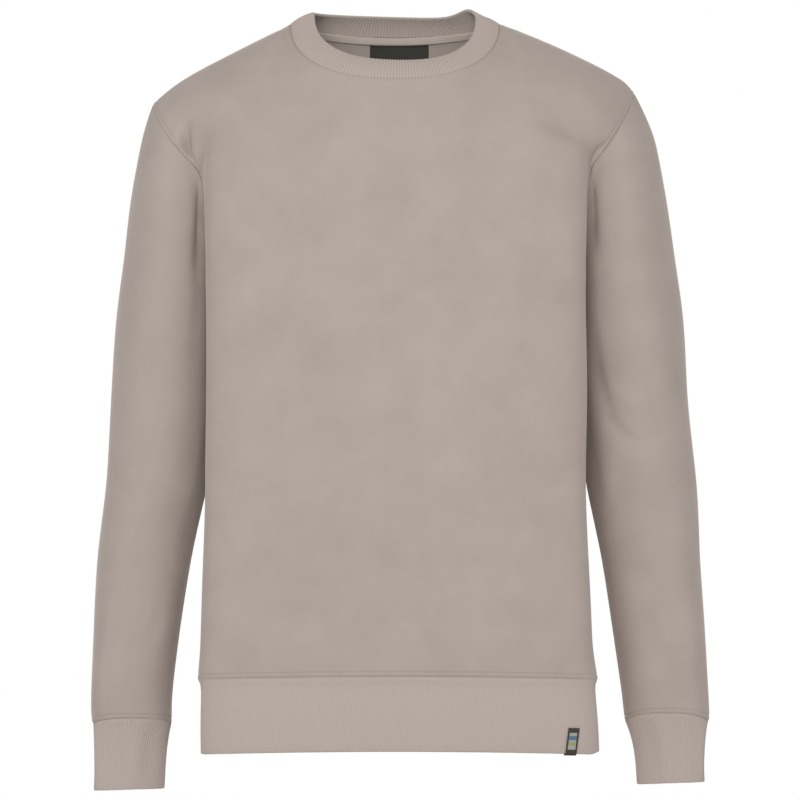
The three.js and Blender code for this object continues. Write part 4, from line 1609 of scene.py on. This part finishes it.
@dataclass
class HemLabel:
    """A narrow woven ribbon folded under the hem's edge, with plain woven stripes."""

    start: float = 163.6
    end: float = 174.0
    height: float = 23.6
    slant: float = 2.9
    thick: float = 0.7
    gap: float = 0.75

    def section(self, face: Array, x: Array) -> tuple[Array, Array]:
        """The hem's outer face at places along x on the front: upright lines of points, and outward ways."""
        front = face[-1, :, 1] < -20
        band = face[:, front]
        order = np.argsort(band[-1, :, 0])
        band = band[:, order]
        lines = read_lines(band[:, :, 0], x, band)
        way = np.gradient(lines, axis=1)
        out = np.stack([way[..., 1], -way[..., 0], np.zeros(way.shape[:2])], axis=2)
        out /= np.linalg.norm(out, axis=2, keepdims=True)
        return lines, out

    def ribbon(self, lines: Array, x: Array, up: Array) -> Array:
        """The hem's outer face at heights above its fold, rows downwards.

        Args:
            lines: Upright lines of points on the face, as wide as the slanting ribbon.
            x: The ribbon's columns at its top; each row lies further left by the slant's share.
            up: Heights above the fold.

        Returns:
            Points (heights, columns, 3).
        """
        heights = lines[-1, :, 2][:, None] + up[None, :]
        by_z = lines[::-1].transpose(1, 0, 2)
        points = read_lines(by_z[:, :, 2], heights, by_z).transpose(1, 0, 2)
        points[..., 2] = heights.T
        moved = x[None, :] - self.slant * (1 - up / self.height)[:, None]
        return read_lines(points[:, :, 0], moved, points)

    def build(self, face: Array) -> None:
        """Makes the ribbon, which runs up the outer side, half round the fold and up inside, as one strip."""
        wide = np.linspace(self.start - self.slant - 2, self.end + 2, 40)
        lines, ways = self.section(face, wide)
        out = ways[-1].mean(axis=0)
        out /= np.linalg.norm(out)
        up = np.linspace(self.height, 0, 26)
        flat = self.ribbon(lines, np.linspace(self.start, self.end, 13), up)
        outside = flat + out * self.gap
        turn = np.linspace(0, math.pi, 9)[1:-1, None, None]
        half = RIB_CLOTH / 2 + self.gap
        middle = flat[-1] - out * RIB_CLOTH / 2
        down = np.array([0.0, 0.0, -1.0])
        fold = middle[None] + half * (out * np.cos(turn) + down * np.sin(turn))
        inside = outside[::-1][:23] - out * (RIB_CLOTH + 2 * self.gap)
        points = np.concatenate([outside, fold, inside])[::-1]
        piece = Maker.shell("hem_label_ribbon", Grid(points, False), -self.thick, STRIPE_FINISH)
        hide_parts("hem_label")


@dataclass
class Stitching:
    """Rows of lockstitch in matching thread, each stitch a short thread that dips at both ends."""

    pitch: float = 3.2
    length: float = 2.5
    radius: float = 0.3
    sides: int = 5

    def template(self) -> tuple[Array, Array]:
        """One stitch: rings of points along its length, with their sizes.

        Returns:
            Places (points, 3) as shares along, across and up, and its quads (faces, 4).
        """
        stations = np.array([-0.5, -0.36, 0.0, 0.36, 0.5])
        size = np.array([0.25, 0.85, 1.0, 0.85, 0.25])
        rise = 0.22 - 0.9 * (2 * stations) ** 4
        turn = 2 * math.pi * np.arange(self.sides) / self.sides
        along = np.repeat(stations * self.length, self.sides)
        across = np.outer(size, np.cos(turn)).ravel() * self.radius
        up = np.outer(size, np.sin(turn)).ravel() * self.radius
        up += np.repeat(rise * self.radius, self.sides)
        quads, _ = Maker.wrapped(len(stations), self.sides, False, True)
        return np.stack([along, across, up], axis=1), quads[:, ::-1]

    def build(self, name: str, paths: list[tuple[Array, Array]], finish: Finish) -> None:
        """Makes one piece from rows of stitches.

        Args:
            name: The piece's name.
            paths: For each row, its line of points and the cloth's normals along it.
            finish: The thread.
        """
        places, ways, ups = [], [], []
        for line, normal in paths:
            length = float(along_axis(line[None])[0, -1])
            count = int(length / self.pitch)
            shares = (np.arange(count) + 0.5) / count
            both = spread(np.concatenate([line, normal], axis=1)[None, :, :3], shares)[0]
            along = along_axis(line[None])
            tilt = read_lines(along / along[:, -1:], shares, normal[None])[0]
            way = np.gradient(both, axis=0)
            places.append(both)
            ways.append(way / np.linalg.norm(way, axis=1, keepdims=True))
            ups.append(tilt / np.linalg.norm(tilt, axis=1, keepdims=True))
        place, way, up = np.concatenate(places), np.concatenate(ways), np.concatenate(ups)
        across = np.cross(up, way)
        shape, quads = self.template()
        points = place[:, None] + way[:, None] * shape[None, :, :1]
        points = points + across[:, None] * shape[None, :, 1:2] + up[:, None] * shape[None, :, 2:]
        steps = np.arange(len(place))[:, None, None] * len(shape)
        faces = (quads[None] + steps).reshape(-1, 4)
        Maker.put(name, points.reshape(-1, 3), faces, None, finish)

    @staticmethod
    def row_beside(grid: Grid, edge: str, distance: float) -> tuple[Array, Array]:
        """The line on a grid at a distance from one of its edges.

        Args:
            grid: The cloth.
            edge: first or last, for its lowest or highest row, or left or right, for its end columns.
            distance: The distance in millimetres.

        Returns:
            Points and normals along the line.
        """
        normals = normals_of(grid.points, grid.closed)
        both = np.concatenate([grid.points, normals], axis=2)
        upright = edge in ("first", "last")
        from_start, from_end = grid.edge_distances() if upright else grid.side_distances()
        far = from_start if edge in ("first", "left") else from_end
        if upright:
            far, both = far.T, both.transpose(1, 0, 2)
        if edge in ("last", "right"):
            far, both = far[:, ::-1], both[:, ::-1]
        line = read_lines(far, np.array([distance]), both)[:, 0]
        return line[:, :3], line[:, 3:]

    @staticmethod
    def on_neck(grid: Grid) -> tuple[Array, Array]:
        """The row on a panel below the collar: the part of its upper row that lies beside the neck."""
        line, normal = Stitching.row_beside(grid, "last", NECK_STITCH)
        beside = np.abs(grid.points[-1, :, 0] - NECK_X) < NECK_SEAM.half
        return line[beside], normal[beside]

    @staticmethod
    def on_armhole(grid: Grid, face: Face, side: Side) -> tuple[Array, Array]:
        """The row on a panel beside an armhole, from just above the underarm to the shoulder seam."""
        edge = "left" if (face is Face.FRONT) == (side is Side.LEFT) else "right"
        line, normal = Stitching.row_beside(grid, edge, TOPSTITCH)
        _, down = grid.edge_distances()
        column = 0 if edge == "left" else -1
        beside = (grid.points[:, column, 2] > UNDERARM_Z + 3) & (down[:, column] > 1)
        return line[beside], normal[beside]


@dataclass
class Studio:
    """A pale floor, soft light all round, a soft box before and one behind, and a far camera in front."""

    span: float = 768.0  # millimetres across the picture at the garment's middle
    centre_x: float = 2.9
    centre_z: float = -362.9
    distance: float = 20000.0
    sensor: float = 36.0
    floor_z: float = -800.0
    floor_radius: float = 1900.0
    floor_sides: int = 96

    def camera(self) -> None:
        """The camera: level, square to the front, with its frame a square of the given span."""
        data = bpy.data.cameras.new("camera")
        data.sensor_width = self.sensor
        data.lens = self.sensor * self.distance / self.span
        data.clip_start, data.clip_end = 1.0, 100.0
        made = bpy.data.objects.new("camera", data)
        made.location = Vector((self.centre_x, -self.distance, self.centre_z)) * MM
        made.rotation_euler = (math.radians(90), 0, 0)
        bpy.context.scene.collection.objects.link(made)
        bpy.context.scene.camera = made

    def soft_box(self, name: str, place: tuple[float, float, float], size: float, power: float) -> None:
        """A square soft box, aimed at the garment's middle. Places and size are in metres."""
        data = bpy.data.lights.new(name, "AREA")
        data.shape = "SQUARE"
        data.size = size
        data.energy = power
        made = bpy.data.objects.new(name, data)
        made.location = place
        made.visible_camera = False
        aim = Vector((0, 0, self.centre_z * MM)) - Vector(place)
        made.rotation_euler = aim.to_track_quat("-Z", "Y").to_euler()
        bpy.context.scene.collection.objects.link(made)

    def floor(self) -> None:
        """The floor: a round slab with a softened edge, as rings of points in a closed section."""
        turn = 2 * math.pi * np.arange(self.floor_sides) / self.floor_sides
        radii = np.array([1.0, 900.0, self.floor_radius - 12, self.floor_radius, self.floor_radius, 1.0])
        drops = np.array([0.0, 0.0, 0.0, -12.0, -40.0, -40.0])
        ring = np.stack([np.cos(turn), np.sin(turn), np.zeros(self.floor_sides)], axis=1)
        points = ring[None] * radii[:, None, None]
        points[..., 2] = self.floor_z + drops[:, None]
        quads, _ = Maker.wrapped(len(radii), self.floor_sides, True, True)
        made = Maker.mesh("studio_floor", points.reshape(-1, 3), quads[:, ::-1], None, FLOOR_FINISH)

    def build(self) -> None:
        """Makes the camera, the lights, the world and the floor."""
        self.camera()
        self.soft_box("key_box", (-0.4, -5.0, 0.9), 2.0, 150)
        self.soft_box("back_box", (0.5, 4.6, 0.9), 2.6, 120)
        world = bpy.data.worlds.new("studio")
        world.use_nodes = True
        tree = world.node_tree
        tree.nodes.clear()
        # The backdrop is plain white to the eye, while the light that it throws is softer than that.
        seen = node(tree, "LightPath", {}).outputs["Is Camera Ray"]
        soft = node(tree, "Background", {"Color": (1, 1, 1, 1), "Strength": 0.58})
        white = node(tree, "Background", {"Color": (1, 1, 1, 1), "Strength": 1.0})
        both = node(tree, "MixShader", {0: seen, 1: soft.outputs[0], 2: white.outputs[0]})
        node(tree, "OutputWorld", {"Surface": both.outputs[0]})
        scene = bpy.context.scene
        scene.world = world
        scene.view_settings.view_transform = "Standard"
        scene.view_settings.look = "None"
        self.floor()


# The sleeves' creases, on the chart that Sleeve names.
LEFT_CREASES = (
    Crease((36, -150), (34, -500), 17, 3.6),
    Crease((66, -128), (54, -240), 18, 11.0),
    Crease((62, -210), (56, -330), 13, 1.4),
    Crease((240, -310), (236, -500), 22, 3.6),
    Crease((318, -400), (310, -560), 20, 3.0),
    Crease((110, -560), (126, -640), 12, 1.3),
    Crease((60, -560), (78, -600), 11, 1.2),
    Crease((210, -230), (262, -330), 14, 2.0),
    Crease((262, -560), (238, -640), 12, 1.6),
    Crease((150, -330), (140, -420), 16, 1.0),
    Crease((120, -640), (121, -668), 6, 0.9),
    Crease((98, -640), (97, -670), 6, 0.8),
)
RIGHT_CREASES = (
    Crease((34, -180), (36, -470), 17, 3.4),
    Crease((66, -132), (54, -225), 17, 8.0),
    Crease((48, -300), (62, -385), 12, 3.8),
    Crease((66, -350), (98, -372), 8, -1.5),
    Crease((60, -380), (92, -410), 8, 2.4),
    Crease((92, -424), (134, -446), 7, 1.2),
    Crease((62, -400), (50, -470), 13, -1.8),
    Crease((92, -390), (112, -440), 9, 1.0),
    Crease((250, -300), (246, -490), 22, 3.6),
    Crease((312, -380), (306, -540), 20, 2.6),
    Crease((76, -560), (92, -630), 12, 1.4),
    Crease((212, -230), (258, -320), 14, 1.8),
    Crease((250, -550), (270, -640), 12, 1.7),
    Crease((140, -600), (150, -664), 10, 1.1),
    Crease((112, -646), (113, -668), 6, 0.8),
)


def main() -> None:
    """Builds the sweatshirt piece by piece, then the studio."""
    logging.basicConfig(level=logging.INFO, format="%(message)s")
    body = Body()
    even = {face: body.smooth_panel(face) for face in Face}
    panels = body.build()
    sleeves = {
        Side.LEFT: Sleeve(Side.LEFT, arch=4.5, creases=LEFT_CREASES),
        Side.RIGHT: Sleeve(Side.RIGHT, arch=7.5, creases=RIGHT_CREASES),
    }
    grids = {side: sleeve.build(body, even) for side, sleeve in sleeves.items()}
    hem_face = HemBand().build(body)
    Cuff(sleeves[Side.LEFT], x=-257.5, y=33, half_x=33.8, half_y=27, length=64.2, slope=1.0).build()
    Cuff(sleeves[Side.RIGHT], x=263.2, y=33, half_x=32.4, half_y=27, length=60.0, slope=-1.1).build()
    Collar().build()
    NeckTrim().build(panels[Face.BACK])
    HemLabel().build(hem_face)
    sew = Stitching()
    beside = sew.row_beside
    both = list(Face)
    sew.build("hem_stitching", [beside(panels[face], "first", TOPSTITCH) for face in both], THREAD_FINISH)
    neck = Stitching(pitch=3.3, length=1.9, radius=0.42)
    neck.build("neck_stitching", [sew.on_neck(panels[face]) for face in both], NECK_THREAD_FINISH)
    for side in Side:
        rows = [sew.on_armhole(panels[face], face, side) for face in both]
        sew.build("armhole_stitching_" + side.word, rows, THREAD_FINISH)
        sew.build("cuff_stitching_" + side.word, [beside(grids[side], "first", TOPSTITCH)], THREAD_FINISH)
    Studio().build()


if __name__ == "__main__":
    main()
